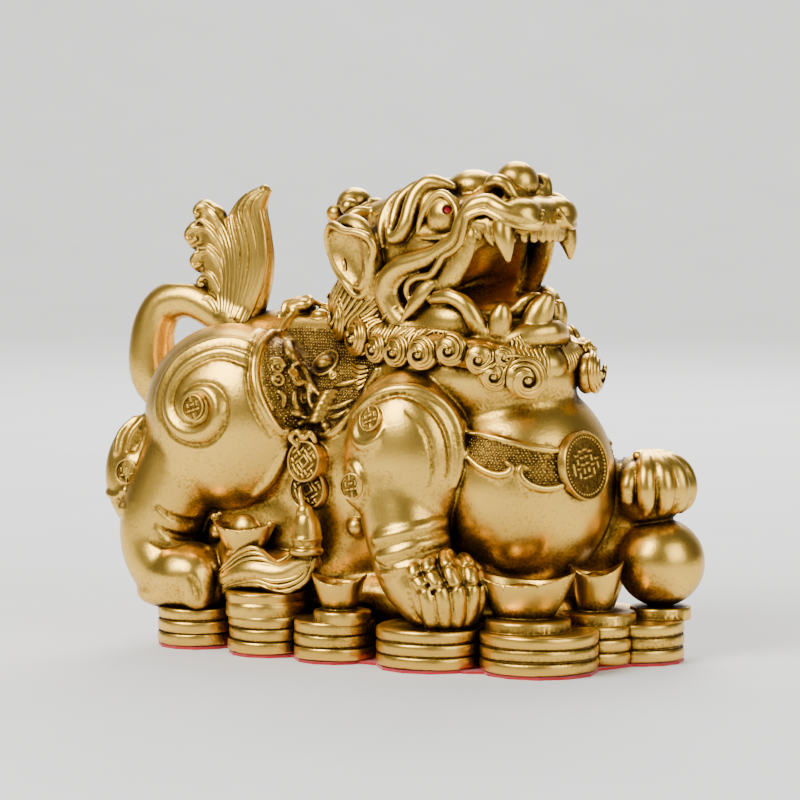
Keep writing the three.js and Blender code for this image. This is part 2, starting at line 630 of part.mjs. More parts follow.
const TAIL = [
  [-80, 0, 58, 9], [-92, -6, 66, 8], [-93.5, -7, 79, 7], [-89.5, -6, 89, 6.4], [-80, -5, 91.5, 6], [-69, -4, 87, 6.2],
  [-63, -4, 85, 7.5, 7],
];
const TUFT = [
  [[-60, -4, 85, 3.4, 5], [-55, -4, 98, 3.4, 4.4], [-52, -4, 110, 3, 3.6], [-54.5, -4, 119, 2.6, 3], [-50.5, -4, 126.5, 1.4, 1.8]],
  [[-63, -4, 85, 3, 5.4], [-60, -4, 99, 3, 5], [-57, -4, 111, 3, 4.2], [-58, -4, 121, 2.8, 3.2], [-55.5, -4, 127.5, 1.6, 2]],
  [[-66, -4, 85, 3, 5.4], [-66, -4, 99, 3, 5], [-63, -4, 112, 3, 4.2], [-62, -4, 120, 2.6, 3], [-60.5, -4, 126.5, 1.6, 2]],
  [[-69, -4, 86, 2.8, 5], [-71, -4, 98, 3, 4.6], [-70, -4, 109, 3, 4], [-70.5, -4, 119, 2.8, 3], [-73.5, -4, 122, 1.8, 2]],
  [[-70, -4, 87, 2.4, 4.4], [-74.5, -4, 96, 2.6, 4], [-75, -4, 106, 2.8, 3.6], [-76, -4, 114, 2.4, 3]],
];
const TUFT_CURLS = [[-75.5, 119.5, 3.6], [-78.5, 110.5, 4.2], [-77.5, 101.5, 3.4]];

function tailMass() {
  return limb(stations(TAIL), { up: Y, sides: 10, steps: 2 });
}

function tuft() {
  const curls = TUFT_CURLS.flatMap(([x, z, size]) =>
    bothSides((side) =>
      curl(at(x, -4 - side * 1.6, z), vec(0, -side, 0), size * SHARE, { hand: side, turns: 1.1, start: -0.6 }),
    ),
  );
  return [...TUFT.map((rows) => limb(stations(rows), { up: Y, sides: 4 })), ...curls];
}

// Saddle cloth, over the back and down both sides, with a rolled border that ends in two knobs

const SADDLE_EDGE = [
  [-43.6, 84.6], [-44.6, 79], [-43, 72], [-39, 65], [-35, 58], [-29, 53.5],
];
const SADDLE_FRONT = [
  [-15.5, 55], [-12, 54.2], [-8, 57.4], [-4, 62.4], [-1, 69], [2, 76],
];
const SADDLE_KNOBS = [[-28, 53.2, 2.9], [-15.8, 55.6, 2.7]];
const SADDLE_RELIEF = [
  [[-33, 80, 2], [-30, 72, 2.6], [-26, 66, 3], [-21, 61, 2.2]],
  [[-36, 70, 1.8], [-31, 67, 2.4], [-27, 62, 2]],
  [[-33, 62, 1.6], [-29, 59, 2], [-23, 58, 1.8]],
  [[-24, 79.5, 1.5], [-19.5, 76, 1.6], [-19, 71.5, 1.5], [-23, 71, 1.4], [-25.5, 75.5, 1.4]],
];

// The relief on the cloth is carved on the right side, where the figure turns its head
function saddle(side) {
  const masses = [BELLY, RUMP];
  const place = ([x, z]) => [x, -side * (skin(x, z, masses) + 0.6), z];
  const borders = [SADDLE_EDGE, SADDLE_FRONT].map((rows) =>
    limb(stations(rows.map((row) => [...place(row), 1.9])), { sides: 4 }),
  );
  const knobs = SADDLE_KNOBS.map(([x, z, r]) => egg(at(...place([x, z])), len(r, r, r), { sides: 8 }));
  if (side < 0) return [...borders, ...knobs];
  const roll = Array.from({ length: 5 }, (_, i) => {
    const [x, y, z] = place([-18.6 + 1.1 * i, 66 - 2.9 * i]);
    return [x, y - 1.2, z, i % 4 ? 3 : 2.2];
  });
  return [...borders, ...knobs, ...SADDLE_RELIEF.map((rows) => ridge(rows, masses)), limb(stations(roll), { sides: 6 })];
}

function spine() {
  const bumps = [[-46, 4.4], [-39, 3.6], [-32, 4], [-25, 3.4], [-18, 3.8]];
  return bumps.map(([x, size], i) =>
    egg(at(x, i % 2 ? 1.5 : -1.5, 86 - (x + 40) ** 2 * 0.004), len(size, size + 2, 3), { sides: 8 }),
  );
}

// A pendant hangs from the cloth: a knot, two coins, and a tassel whose threads spread over the bed

function pendant(side) {
  const y = (depth) => -side * depth;
  const plate = (x, depth, z, lean) =>
    turned(
      [[0, -4.5], [6.2, -4.5], [6.2, 1.2], [0, 1.2]].map((p) => len(...p)),
      at(x, y(depth), z),
      vec(lean, -side, 0.1),
      12,
    );
  const threads = [
    [[-20, 31, 21], [-28, 34, 19.5], [-38, 37, 18], [-48, 38, 12.5]],
    [[-19, 32, 20], [-27, 36, 15.5], [-37, 39, 13.5], [-47, 40, 9]],
    [[-18, 32, 19], [-25, 37, 11], [-35, 40, 9], [-44, 41, 5.5]],
    [[-17, 32, 18], [-21, 37, 8], [-28, 39, 5], [-38, 41, 3]],
    [[-15, 31, 18], [-13, 35, 9], [-14, 37, 4], [-16, 38, 2]],
  ];
  return [
    plate(-19.7, 32.2, 45.9, -0.15),
    plate(-19.3, 31, 37.5, 0),
    egg(at(-20.5, y(30.5), 53), len(3.2, 2.4, 2.4), { sides: 6 }),
    limb(stations([[-20.8, y(31), 52, 1.2], [-20.8, y(33.8), 40, 1.2], [-20.4, y(33.5), 30, 1.6]]), { sides: 4 }),
    turned(
      [[0, 0], [5.2, 1.2], [4.6, 2.6], [4.4, 5.6], [1.8, 9.6], [1.8, 11.4], [0, 11.4]].map((p) => len(...p)),
      at(-18.3, y(32), 20.5),
      vec(-0.12, 0, 1),
      8,
    ),
    ...threads.slice(side > 0 ? 0 : 2).map((rows) => limb(stations(rows.map(([x, depth, z]) => [x, y(depth), z, 2.1])), { sides: 4 })),
  ];
}

// Breast band: a stippled strap between two raised borders, with a round medal at the front

const BAND_TOP = [[28, 57.8], [38.6, 56], [46.6, 54.3], [53.2, 52.5], [58, 51.6]];
const BAND_LOW = [[30.5, 51.6], [35.6, 48.3], [40, 46], [44, 45], [47, 46.6]];
const BAND_NEXT = [[50.2, 45], [51.7, 42.9], [54.7, 41], [57.6, 40.9], [60, 42.4]];
const MEDAL = { x: 60.6, y: -7.5, z: 46.5, radius: 10.2, lift: 2.4 };

function breastBand(side) {
  const masses = [CHEST];
  const border = (rows, half) => ridge(rows.map(([x, z]) => [x, z, half]), masses, side);
  const knob = (x, z) => egg(at(x, -side * (skin(x, z, masses) + 0.8), z), len(2, 2, 2), { sides: 6 });
  return [border(BAND_TOP, 1.5), border(BAND_LOW, 1.4), border(BAND_NEXT, 1.4), knob(46.4, 47.8), knob(50.7, 46.4)];
}

function medallion() {
  const { x, y, z, radius, lift } = MEDAL;
  const profile = [[0, -6], [radius, -6], [radius, lift - 0.6], [radius - 0.8, lift], [radius - 1.6, lift], [radius - 2.2, lift - 0.7],
    [0, lift - 0.7]];
  return turned(profile.map((p) => len(...p)), at(x, y, z), vec(0.97, -0.17, 0.14), 18);
}

// Ingots on the bed: boat-shaped dishes with a dome inside, and points at both ends

const INGOT_SIDES = 10;

function ingot(x, y, { half, wide, high, turn = 0, dome = 0.6, base = 0 }) {
  const frame = new THREE.Matrix4().makeRotationZ(THREE.MathUtils.degToRad(turn));
  const ring = (share, z, rise) =>
    Array.from({ length: INGOT_SIDES }, (_, k) => {
      const angle = (2 * Math.PI * k) / INGOT_SIDES;
      const along = Math.cos(angle);
      const point = vec(half * share * along, wide * share * Math.sin(angle), z + rise * along ** 2);
      return point.multiplyScalar(SHARE).applyMatrix4(frame).add(at(x, y, base));
    });
  const rings = [ring(0.55, 0, 0), ring(0.76, high * 0.5, 0), ring(1, high * 0.78, high * 0.22), ring(0.74, high * 0.58, 0)];
  const corners = [];
  const middle = (list) => list.reduce((sum, p) => sum.add(p), vec(0, 0, 0)).divideScalar(list.length);
  const [floor, well] = [middle(rings[0]), middle(rings.at(-1))];
  for (let k = 0; k < INGOT_SIDES; k++) {
    const next = (k + 1) % INGOT_SIDES;
    for (let i = 0; i + 1 < rings.length; i++) {
      const [a, b, c, d] = [rings[i][k], rings[i][next], rings[i + 1][next], rings[i + 1][k]];
      corners.push(a, b, c, a, c, d);
    }
    corners.push(floor, rings[0][next], rings[0][k]);
    corners.push(well, rings.at(-1)[k], rings.at(-1)[next]);
  }
  const dish = solid(new THREE.BufferGeometry().setFromPoints(corners));
  const crown = egg(at(x, y, base + high * 0.5), len(half * 0.55, wide * 0.62, high * dome), { frame, sides: 8 });
  return dish.add(crown);
}

// A loose coin that lies flat on the bed
function coinAt(x, y, radius, thick) {
  return turned([[0, -1], [radius, -1], [radius, thick], [0, thick]].map((p) => len(...p)), at(x, y, 0), Z, 14);
}

function ingots() {
  return [
    ingot(50.5, -23, { half: 15.5, wide: 9.5, high: 14, turn: 14, dome: 0.3, base: 3 }),
    ingot(60.5, 1.5, { half: 8.5, wide: 7.5, high: 15, turn: 30, dome: 0.35, base: 3 }),
    coinAt(52, -23.5, 12.6, 3),
    coinAt(62, 1, 11, 3),
    coinAt(-4, -36, 8.5, 3),
    ingot(-5, -36, { half: 8.5, wide: 7.5, high: 11, turn: 20, dome: 0.45, base: 3 }),
    ingot(-41, -33, { half: 10.5, wide: 7, high: 9, turn: 5, dome: 0.85, base: 18 }),
    limb(stations([[-53, -30, 22, 5.5, 5], [-40, -30, 14, 8, 6], [-28, -30, 12, 7, 6]]), { sides: 8 }),
    coinAt(-33, -33.5, 12, 5),
    ingot(46, 27, { half: 13, wide: 8, high: 14, turn: -18, dome: 0.3 }),
    ingot(-4, 35, { half: 11, wide: 7.5, high: 14, turn: -10, dome: 0.45 }),
    ingot(-38, 33, { half: 11, wide: 7, high: 14, turn: 6, dome: 0.7 }),
  ];
}

// Bed: stacks of three coins with a filled middle. The sole has the same outline, cut back all round.

// [x, y, radius]
const STACKS = [
  [-60, -30, 12.8], [-32, -33, 12.6], [-8, -34, 12.4], [23.5, -30.5, 16.6], [55.5, -23, 17.6], [70, 12, 13.4],
  [-66, 0, 13], [-60, 29, 12.8], [-33, 31, 13], [-6, 31.5, 13.4], [21, 30.5, 14], [47, 27, 14.2],
];
const STACK_SIDES = 12;
const FILL = [[-66, -27], [-30, -38], [40, -38], [66, -24], [74, 0], [72, 18], [50, 33], [-50, 33], [-66, 26]];

// The plan of the bed and of the sole, drawn back by an inset, between two heights
function fill(inset, bottom, top) {
  const outline = new THREE.Shape(FILL.map(([x, y]) => new THREE.Vector2(...len(x, y))));
  const slab = new THREE.ExtrudeGeometry(outline, { depth: top - bottom, bevelEnabled: false });
  return solid(slab.translate(0, 0, bottom));
}

function bed() {
  const coins = STACKS.map(([x, y, radius]) => {
    const [reach] = len(radius);
    const profile = [[0, 0], [reach, 0]];
    for (let k = 1; k < COINS_IN_A_STACK; k++)
      profile.push(
        [reach, k * COIN_THICKNESS - GROOVE_WIDTH / 2],
        [reach - GROOVE_DEPTH, k * COIN_THICKNESS],
        [reach, k * COIN_THICKNESS + GROOVE_WIDTH / 2],
      );
    profile.push([reach, COINS_IN_A_STACK * COIN_THICKNESS], [0, COINS_IN_A_STACK * COIN_THICKNESS]);
    return turned(profile, at(x, y, 0).setZ(CASTING_BOTTOM), Z, STACK_SIDES);
  });
  return [...coins, fill(0, CASTING_BOTTOM, COIN_TOP)];
}

// The low mound that the beast lies on, and the coin under the ball
const MOUND = [[-60, 0, 3, 25, 12], [-20, 0, 5, 26, 12], [16, 0, 4, 24, 11], [44, 5, 1, 13, 9]];
const BALL_COIN = { radius: 9.2, thick: 3 };

function ground() {
  const [x, y] = BALL;
  return [limb(stations(MOUND), { sides: 10, round: 0.6 }), coinAt(x, y, BALL_COIN.radius, BALL_COIN.thick)];
}

function sole() {
  const discs = STACKS.map(([x, y, radius]) => {
    const reach = len(radius)[0] - FELT_INSET;
    return turned([[0, 0], [reach, 0], [reach, FELT_THICKNESS], [0, FELT_THICKNESS]], at(x, y, 0).setZ(0), Z, STACK_SIDES);
  });
  return join([...discs, fill(FELT_INSET, 0, FELT_THICKNESS)]);
}

// Eye stones, each on a flat seat in a drilled hole

const EYE_AXIS = [0.555, 0.69, 0.465];
const EYE_SEAT = [-2.1, 15.5, 120.5];

function eyePlace(side) {
  const [f, s, z] = EYE_SEAT;
  const [df, ds, dz] = EYE_AXIS;
  return { seat: headPoint(f, side * s, z), axis: headDirection(df, side * ds, dz) };
}

function eyeHole(side) {
  const { seat, axis } = eyePlace(side);
  const reach = GEM_RADIUS + GEM_CLEARANCE;
  return turned([[0, -GEM_CLEARANCE], [reach, -GEM_CLEARANCE], [reach, 6], [0, 6]], seat, axis, 8);
}

function eyeStone(side) {
  const { seat, axis } = eyePlace(side);
  const profile = [[0, 0], [GEM_RADIUS * 0.8, 0], [GEM_RADIUS, GEM_HEIGHT * 0.45], [GEM_RADIUS * 0.6, GEM_HEIGHT], [0, GEM_HEIGHT]];
  return turned(profile, seat, axis, 8);
}

// What hangs below the bed is cut away
const CUT = { wide: 400, deep: 100 };

function casting() {
  const masses = [
    ...trunk(),
    ...bothSides(haunchMass),
    ...bothSides(hindLegMass),
    ...rightLegMasses(),
    ...leftLegMasses(),
    headMasses(),
    ...bothSides(ear),
    ...horn(),
    ...maneMasses(),
    tailMass(),
    ball(),
    ...ground(),
  ];
  const limbsAndHair = [
    ...bothSides(hindToes).flat(),
    ...bothSides(flame).flat(),
    ...rightToes(),
    ...rightFolds(),
    ...leftToes(),
    ...bothSides(face).flat(),
    ...mouthAndNose(),
    ...bothSides(maneCurls).flat(),
    ...tuft(),
    ...spine(),
    ...bothSides(pendant).flat(),
    ...ingots(),
  ];
  const carving = [
    ...bothSides(haunchSpiral).flat(),
    ...bothSides(shoulderDress).flat(),
    ...bothSides(saddle).flat(),
    ...bothSides(breastBand).flat(),
    medallion(),
    ...bed(),
  ];
  const floor = new THREE.BoxGeometry(CUT.wide, CUT.wide, CUT.deep).translate(0, 0, CASTING_BOTTOM - CUT.deep / 2);
  const body = thinned(withoutPockets(join(masses)), BODY_FACES);
  const beast = thinned(withoutPockets(join([body, ...limbsAndHair])), BEAST_FACES);
  const cast = thinned(withoutPockets(join([beast, ...carving])), CASTING_FACES);
  return cast.subtract(solid(floor)).subtract(join(bothSides(eyeHole)));
}

const figure = new THREE.Group();
figure.add(meshOf("casting", casting(), BRASS));
figure.add(meshOf("felt_sole", sole(), FELT));
figure.add(meshOf("right_eye_stone", eyeStone(1), RED_GLASS));
figure.add(meshOf("left_eye_stone", eyeStone(-1), RED_GLASS));

export default figure;
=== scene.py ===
import math

import bpy
import numpy as np
import openvdb
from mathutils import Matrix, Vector


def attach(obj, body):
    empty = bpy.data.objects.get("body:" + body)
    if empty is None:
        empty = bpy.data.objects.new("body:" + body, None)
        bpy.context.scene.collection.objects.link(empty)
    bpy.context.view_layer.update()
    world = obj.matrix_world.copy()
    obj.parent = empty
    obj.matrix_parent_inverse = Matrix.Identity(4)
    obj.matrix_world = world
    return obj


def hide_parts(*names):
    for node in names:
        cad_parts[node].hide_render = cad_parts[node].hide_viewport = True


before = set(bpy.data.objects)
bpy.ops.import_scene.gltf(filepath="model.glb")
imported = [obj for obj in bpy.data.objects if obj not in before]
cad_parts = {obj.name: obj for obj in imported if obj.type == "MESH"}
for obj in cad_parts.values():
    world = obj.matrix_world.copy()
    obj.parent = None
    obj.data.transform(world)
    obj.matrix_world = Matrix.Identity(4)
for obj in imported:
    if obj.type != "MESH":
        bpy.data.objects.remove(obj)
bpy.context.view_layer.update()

# The camera stands a little above the bed, before the figure's right side, with a long lens.
# Its turn and rise match the photograph's view of the figure.

VIEW_TURN = math.radians(32)
VIEW_RISE = math.radians(4.5)
VIEW_DISTANCE = 1.1
VIEW_WIDTH = 0.8 / 3.3
LOOK_AT = Vector((-0.0064, 0, 0.075))


def added(name, data):
    """A new object in the scene"""
    thing = bpy.data.objects.new(name, data)
    bpy.context.scene.collection.objects.link(thing)
    return thing


camera = added("camera", bpy.data.cameras.new("camera"))
bpy.context.scene.camera = camera
camera.data.sensor_width = 36
camera.data.lens = camera.data.sensor_width * VIEW_DISTANCE / VIEW_WIDTH
camera.data.clip_start = 0.01
backwards = Vector((
    math.sin(VIEW_TURN) * math.cos(VIEW_RISE),
    -math.cos(VIEW_TURN) * math.cos(VIEW_RISE),
    math.sin(VIEW_RISE),
))
camera.location = LOOK_AT + backwards * VIEW_DISTANCE
camera.rotation_euler = backwards.to_track_quat("Z", "Y").to_euler()

# The beast's body: trunk, legs, saddle cloth and breast band, sand cast in brass, chased by hand.
# It is modelled as clay, on a grid of points that each hold their distance to the surface.
# Its places are in millimetres: x forward, y to the figure's left and z up from the coin tops.

MM = 0.001
FAR = 24
COIN_THICKNESS = 3.8
COINS_IN_A_STACK = 3
CASTING_BOTTOM = 1.0
COIN_TOP = CASTING_BOTTOM + COINS_IN_A_STACK * COIN_THICKNESS
UP = (0, 0, 1)
LEFT = (0, 1, 0)
BOTH = (1, -1)  # the figure's right side, then its left
SKIN_TRIANGLES = 196000


def unit(vector):
    """The vector at length 1"""
    vector = np.asarray(vector, float)
    return vector / np.linalg.norm(vector)


def flip(rows, side):
    """The same rows, or their mirror images on the figure's left"""
    return [(row[0], row[1] * side, *row[2:]) for row in rows]


def smooth_path(rows, steps):
    """A smooth curve through rows of places and sizes"""
    rows = np.array(rows, float)
    ends = [2 * rows[0] - rows[1], *rows, 2 * rows[-1] - rows[-2]]
    t = np.linspace(0, 1, steps, endpoint=False)[:, None]
    spans = []
    for a, b, c, d in zip(ends, ends[1:], ends[2:], ends[3:]):
        spans.append(
            b + 0.5 * t * (c - a + t * (2 * a - 5 * b + 4 * c - d + t * (3 * (b - c) + d - a)))
        )
    path = np.vstack([*spans, rows[-1:]])
    path[:, 3:] = np.maximum(path[:, 3:], rows[:, 3:].min(0) * 0.8)
    return path


def smooth_min(a, b, blend):
    """The lesser of two distances, with the corner between them rounded over the blend"""
    lead = np.maximum(blend - np.abs(a - b), 0)
    return np.minimum(a, b) - lead * lead * (0.25 / blend)


class Clay:
    """A block of room that shapes are added to and cut from"""

    def __init__(self, low, high, grain):
        self.low = np.array(low, np.float32)
        self.grain = grain
        self.size = np.ceil((np.array(high) - self.low) / grain).astype(int) + 1
        self.depth = np.full(self.size, FAR, np.float32)

    def room(self, low, high):
        """The points between two corners, as cells of the grid and as their places"""
        first = np.clip(np.floor((low - self.low) / self.grain).astype(int), 0, self.size)
        last = np.clip(np.ceil((high - self.low) / self.grain).astype(int) + 1, 0, self.size)
        cells = tuple(slice(a, b) for a, b in zip(first, last))
        sides = [
            self.low[k] + np.float32(self.grain) * np.arange(first[k], last[k], dtype=np.float32)
            for k in range(3)
        ]
        return cells, np.ix_(*sides)

    def merge(self, cells, field, blend, cut=False):
        """Adds a shape's distances, or cuts the shape out"""
        old = self.depth[cells]
        if cut:
            self.depth[cells] = -smooth_min(-old, field, blend)
        else:
            self.depth[cells] = smooth_min(old, field, blend)

    def egg(self, centre, radii, axes=None, blend=1.0, cut=False, kept=8):
        """An ellipsoid; axes are the directions of its three radii"""
        centre = np.array(centre[:3], float)
        axes = np.eye(3) if axes is None else np.array(axes, float)
        reach = np.abs(axes.T * radii).sum(1)
        cells, sides = self.room(centre - reach - kept, centre + reach + kept)
        offset = [side - np.float32(c) for side, c in zip(sides, centre)]
        local = [sum(np.float32(axis[k]) * offset[k] for k in range(3)) for axis in axes]
        near = np.sqrt(sum((part / np.float32(r)) ** 2 for part, r in zip(local, radii)))
        slope = np.sqrt(sum((part / np.float32(r * r)) ** 2 for part, r in zip(local, radii)))
        self.merge(cells, near * (near - 1) / np.maximum(slope, 1e-4), blend, cut)

    def limb(self, rows, up=UP, blend=1.0, cut=False, steps=6, kept=3):
        """A limb through rows of a place, a half width and perhaps a half thickness towards up"""
        path = smooth_path(rows, steps)
        flat = path.shape[1] > 4
        reach = path[:, 3:].max(1)[:, None]
        cells, sides = self.room(
            (path[:, :3] - reach).min(0) - kept, (path[:, :3] + reach).max(0) + kept
        )
        sides = [side.ravel() for side in sides]
        if not all(side.size for side in sides):
            return
        field = np.full([side.size for side in sides], FAR, np.float32)
        for a, b in zip(path[:-1], path[1:]):
            along = (b[:3] - a[:3]).astype(np.float32)
            length = along @ along
            if length < 1e-6:
                continue
            size = max(a[3:].max(), b[3:].max()) + kept
            part = []
            for k in range(3):
                first = max(0, int((min(a[k], b[k]) - size - sides[k][0]) / self.grain))
                last = max(first, int((max(a[k], b[k]) + size - sides[k][0]) / self.grain) + 2)
                part.append(slice(first, last))
            part = tuple(part)
            x, y, z = np.ix_(
                *(side[s] - np.float32(a[k]) for k, (side, s) in enumerate(zip(sides, part)))
            )
            if not (x.size and y.size and z.size):
                continue
            t = np.clip((x * along[0] + y * along[1] + z * along[2]) / length, 0, 1)
            x, y, z = x - t * along[0], y - t * along[1], z - t * along[2]
            width = np.float32(a[3]) + t * np.float32(b[3] - a[3])
            if flat:
                thick = np.float32(a[4]) + t * np.float32(b[4] - a[4])
                over = unit(np.cross(np.cross(along, up), along)).astype(np.float32)
                high = (x * over[0] + y * over[1] + z * over[2]) ** 2
                wide = np.maximum(x * x + y * y + z * z - high, 0)
                width, thick = width * width, thick * thick
                near = np.sqrt(wide / width + high / thick)
                slope = np.sqrt(wide / width**2 + high / thick**2)
                distance = near * (near - 1) / np.maximum(slope, 1e-4)
            else:
                distance = np.sqrt(x * x + y * y + z * z) - width
            field[part] = np.minimum(field[part], distance)
        self.merge(cells, field, blend, cut)

    def disc(self, centre, axis, radius, bottom, top, edge=0.4, blend=0.3, cut=False, kept=3):
        """A round plate with rounded edges, from bottom to top along its axis"""
        axis = unit(axis)
        centre = np.array(centre, float)
        reach = radius + max(abs(bottom), abs(top)) + kept
        cells, sides = self.room(centre - reach, centre + reach)
        x, y, z = (side - np.float32(c) for side, c in zip(sides, centre))
        height = x * axis[0] + y * axis[1] + z * axis[2]
        out = np.sqrt(np.maximum(x * x + y * y + z * z - height * height, 0)) - radius + edge
        over = np.abs(height - (top + bottom) / 2) - (top - bottom) / 2 + edge
        inner = np.minimum(np.maximum(out, over), 0)
        outer = np.hypot(np.maximum(out, 0), np.maximum(over, 0))
        field = inner + outer - edge
        self.merge(cells, field.astype(np.float32), blend, cut)

    def probe(self, places):
        """The distance and the outward direction at some places"""
        places = np.atleast_2d(places)
        spot = np.clip((places - self.low) / self.grain, 0, self.size - 1.001)
        corner = spot.astype(int)
        share = spot - corner
        values = np.zeros(len(places))
        slope = np.zeros((len(places), 3))
        for step in np.ndindex(2, 2, 2):
            parts = np.where(step, share, 1 - share)
            here = self.depth[tuple((corner + step).T)]
            values += parts.prod(1) * here
            for k in range(3):
                others = parts[:, [j for j in range(3) if j != k]].prod(1)
                slope[:, k] += (1 if step[k] else -1) * others * here
        return values, slope / np.maximum(np.linalg.norm(slope, axis=1), 1e-6)[:, None]

    def settle(self, places, sink=0.0):
        """The same places brought onto the surface, or so far under it"""
        places = np.array(places, float)
        for _ in range(8):
            depth, out = self.probe(places)
            places = places - np.clip(depth + sink, -1.5, 1.5)[:, None] * out
        return places

    def laid(self, rows, sink=0.25, steps=6):
        """A path through rows that lies on the surface, sunk by a share of its half width"""
        path = smooth_path(rows, steps)
        path[:, :3] = self.settle(path[:, :3])
        _, out = self.probe(path[:, :3])
        path[:, :3] -= out * path[:, 3:4] * sink
        return path

    def holds(self, places):
        """Which places lie inside the block"""
        low, high = self.low + self.grain, self.low + (self.size - 2) * self.grain
        return np.all((places > low) & (places < high), axis=1)

    def roll(self, rows, sink=0.25, blend=0.5):
        """A raised line laid on the surface"""
        self.limb(self.laid(rows, sink), blend=blend, steps=1)

    def groove(self, rows, sink=-0.3, blend=0.4):
        """A line cut into the surface"""
        self.limb(self.laid(rows, sink), blend=blend, steps=1, cut=True)


def applied(piece):
    """The piece's mesh with its modifiers applied and removed"""
    bpy.context.view_layer.update()
    raw = piece.data
    made = bpy.data.meshes.new_from_object(
        piece.evaluated_get(bpy.context.evaluated_depsgraph_get())
    )
    piece.modifiers.clear()
    piece.data = made
    bpy.data.meshes.remove(raw)
    made.name = piece.name
    return made


def poured(clay, name, triangles, raised=COIN_TOP):
    """The clay's surface as a mesh piece, with no more than so many triangles"""
    band = 3 * clay.grain
    grid = openvdb.FloatGrid(band)
    grid.copyFromArray(np.clip(clay.depth, -band, band))
    points, quads = grid.convertToQuads(0)
    points = (points * clay.grain + clay.low + (0, 0, raised)) * MM
    data = bpy.data.meshes.new(name)
    data.vertices.add(len(points))
    data.vertices.foreach_set("co", points.astype(np.float32).ravel())
    data.loops.add(quads.size)
    data.loops.foreach_set("vertex_index", quads.astype(np.int32).ravel())
    data.polygons.add(len(quads))
    data.polygons.foreach_set("loop_start", np.arange(0, quads.size, 4, dtype=np.int32))
    data.update(calc_edges=True)
    piece = added(name, data)
    thinner = piece.modifiers.new("thinner", "DECIMATE")
    thinner.ratio = min(1, triangles / (2 * len(quads)))
    applied(piece).shade_smooth()
    return piece


body = Clay((-103, -50, -12.2), (86, 49, 96), 0.42)

# Trunk, on its low mound
body.egg((-50, 0, 52), (34, 30, 34), blend=4)
body.egg((-14, 0, 42), (44, 29, 42), blend=4)
body.egg((-35, 0, 20), (48, 28, 24), blend=4)
BACK = [(-72, 0, 72, 9), (-55, 0, 78, 10), (-30, 0, 79, 9), (-8, 0, 77, 9)]
body.limb(BACK, blend=5, kept=8)
body.egg((20, -3, 72), (35, 23, 17), blend=6)
body.egg((38, 0, 40), (26, 28, 31), blend=4)
MOUND = [(-60, 0, 3, 25, 12), (-20, 0, 5, 26, 12), (16, 0, 4, 24, 11), (44, 5, 1, 13, 9)]
body.limb(MOUND, blend=2, kept=8)

# Haunches and hind legs
HIND_LEG = [
    (-69, -25, 41, 14), (-74, -28, 29, 13), (-75, -30, 18, 11.6), (-69, -32, 10, 10.8),
    (-59, -33, 8.5, 9.6),
]
HIND_SOLE = [(-70, -33.6, 3.4, 8.6, 4.4), (-60, -33.4, 3.4, 9, 4.4)]
for side in BOTH:
    body.egg((-53, -21 * side, 57), (30, 20.5, 28.5), blend=1.5)
    body.limb(flip(HIND_LEG, side), blend=2.5, kept=8)
    body.egg((-60.8, -32.8 * side, 9.4), (12.4, 12.2, 9.6), blend=2)
    body.limb(flip(HIND_SOLE, side), blend=2)

# Shoulders and front legs: the right one stands, and the left one reaches out to a ball
STANDING_LEG = [(12, -27, 38, 14), (15, -30, 26, 12.5), (19, -32, 15, 11), (26, -34, 8, 9.5)]
REACHING_LEG = [(24, 27, 44, 15), (40, 27, 36, 13), (54, 24.5, 34, 11), (65, 22, 38, 10)]
BALL, BALL_RADIUS = (71.6, 21.6, 16), 13.2
body.egg((12, -25, 49), (20, 16, 25), blend=1.2)
body.limb(STANDING_LEG, blend=2, kept=8)
body.egg((28, -32, 10), (12, 10.4, 11.5), blend=3)
body.egg((21, 25, 45), (20, 15, 23), blend=1.5)
body.limb(REACHING_LEG, blend=2.5, kept=8)
body.egg((69, 21.6, 38.5), (12, 12, 9), blend=2)
body.egg(BALL, (BALL_RADIUS,) * 3, blend=0.5)

# Tail
TAIL = [
    (-80, 0, 58, 9), (-92, -6, 66, 8), (-93.5, -7, 79, 7), (-89.5, -6, 89, 6.4), (-80, -5, 91.5, 6),
    (-69, -4, 87, 6.2), (-63, -4, 85, 7.5),
]
body.limb(TAIL, blend=3, kept=8)

# Folds of skin at the hocks and under the right shoulder
HOCK_CREASES = [
    [
        (-68.4, -39.6, 30.4, 0.4), (-65.6, -37.4, 27.6, 0.8), (-62.4, -32, 25.4, 0.8),
        (-61.4, -27, 25, 0.4),
    ],
    [
        (-69, -39.6, 24.4, 0.4), (-66, -37, 22, 0.8), (-63.8, -31.4, 20.4, 0.8),
        (-63.2, -26, 20.4, 0.4),
    ],
    [
        (-70, -40.4, 19.4, 0.4), (-66.4, -39, 18.4, 0.8), (-62.6, -36, 18, 0.7),
        (-60.4, -32, 18.4, 0.4),
    ],
]
for side in BOTH:
    for rows in HOCK_CREASES:
        body.groove(flip(rows, side), sink=0, blend=1)
SHOULDER_FOLDS = [(16, 29.5, 12.6, 2.4), (17, 24.5, 12.2, 2), (18, 19.5, 11.4, 1.5)]
for x, z, reach, half in SHOULDER_FOLDS:
    fold = []
    for turn in np.radians([-110, -80, -50, -20, 10]):
        ahead, aside = math.cos(turn), math.sin(turn)
        fold.append((x + reach * ahead, -31 + reach * aside, z + 4 * ahead - 3, half))
    body.roll(fold, sink=0.55, blend=0.9)

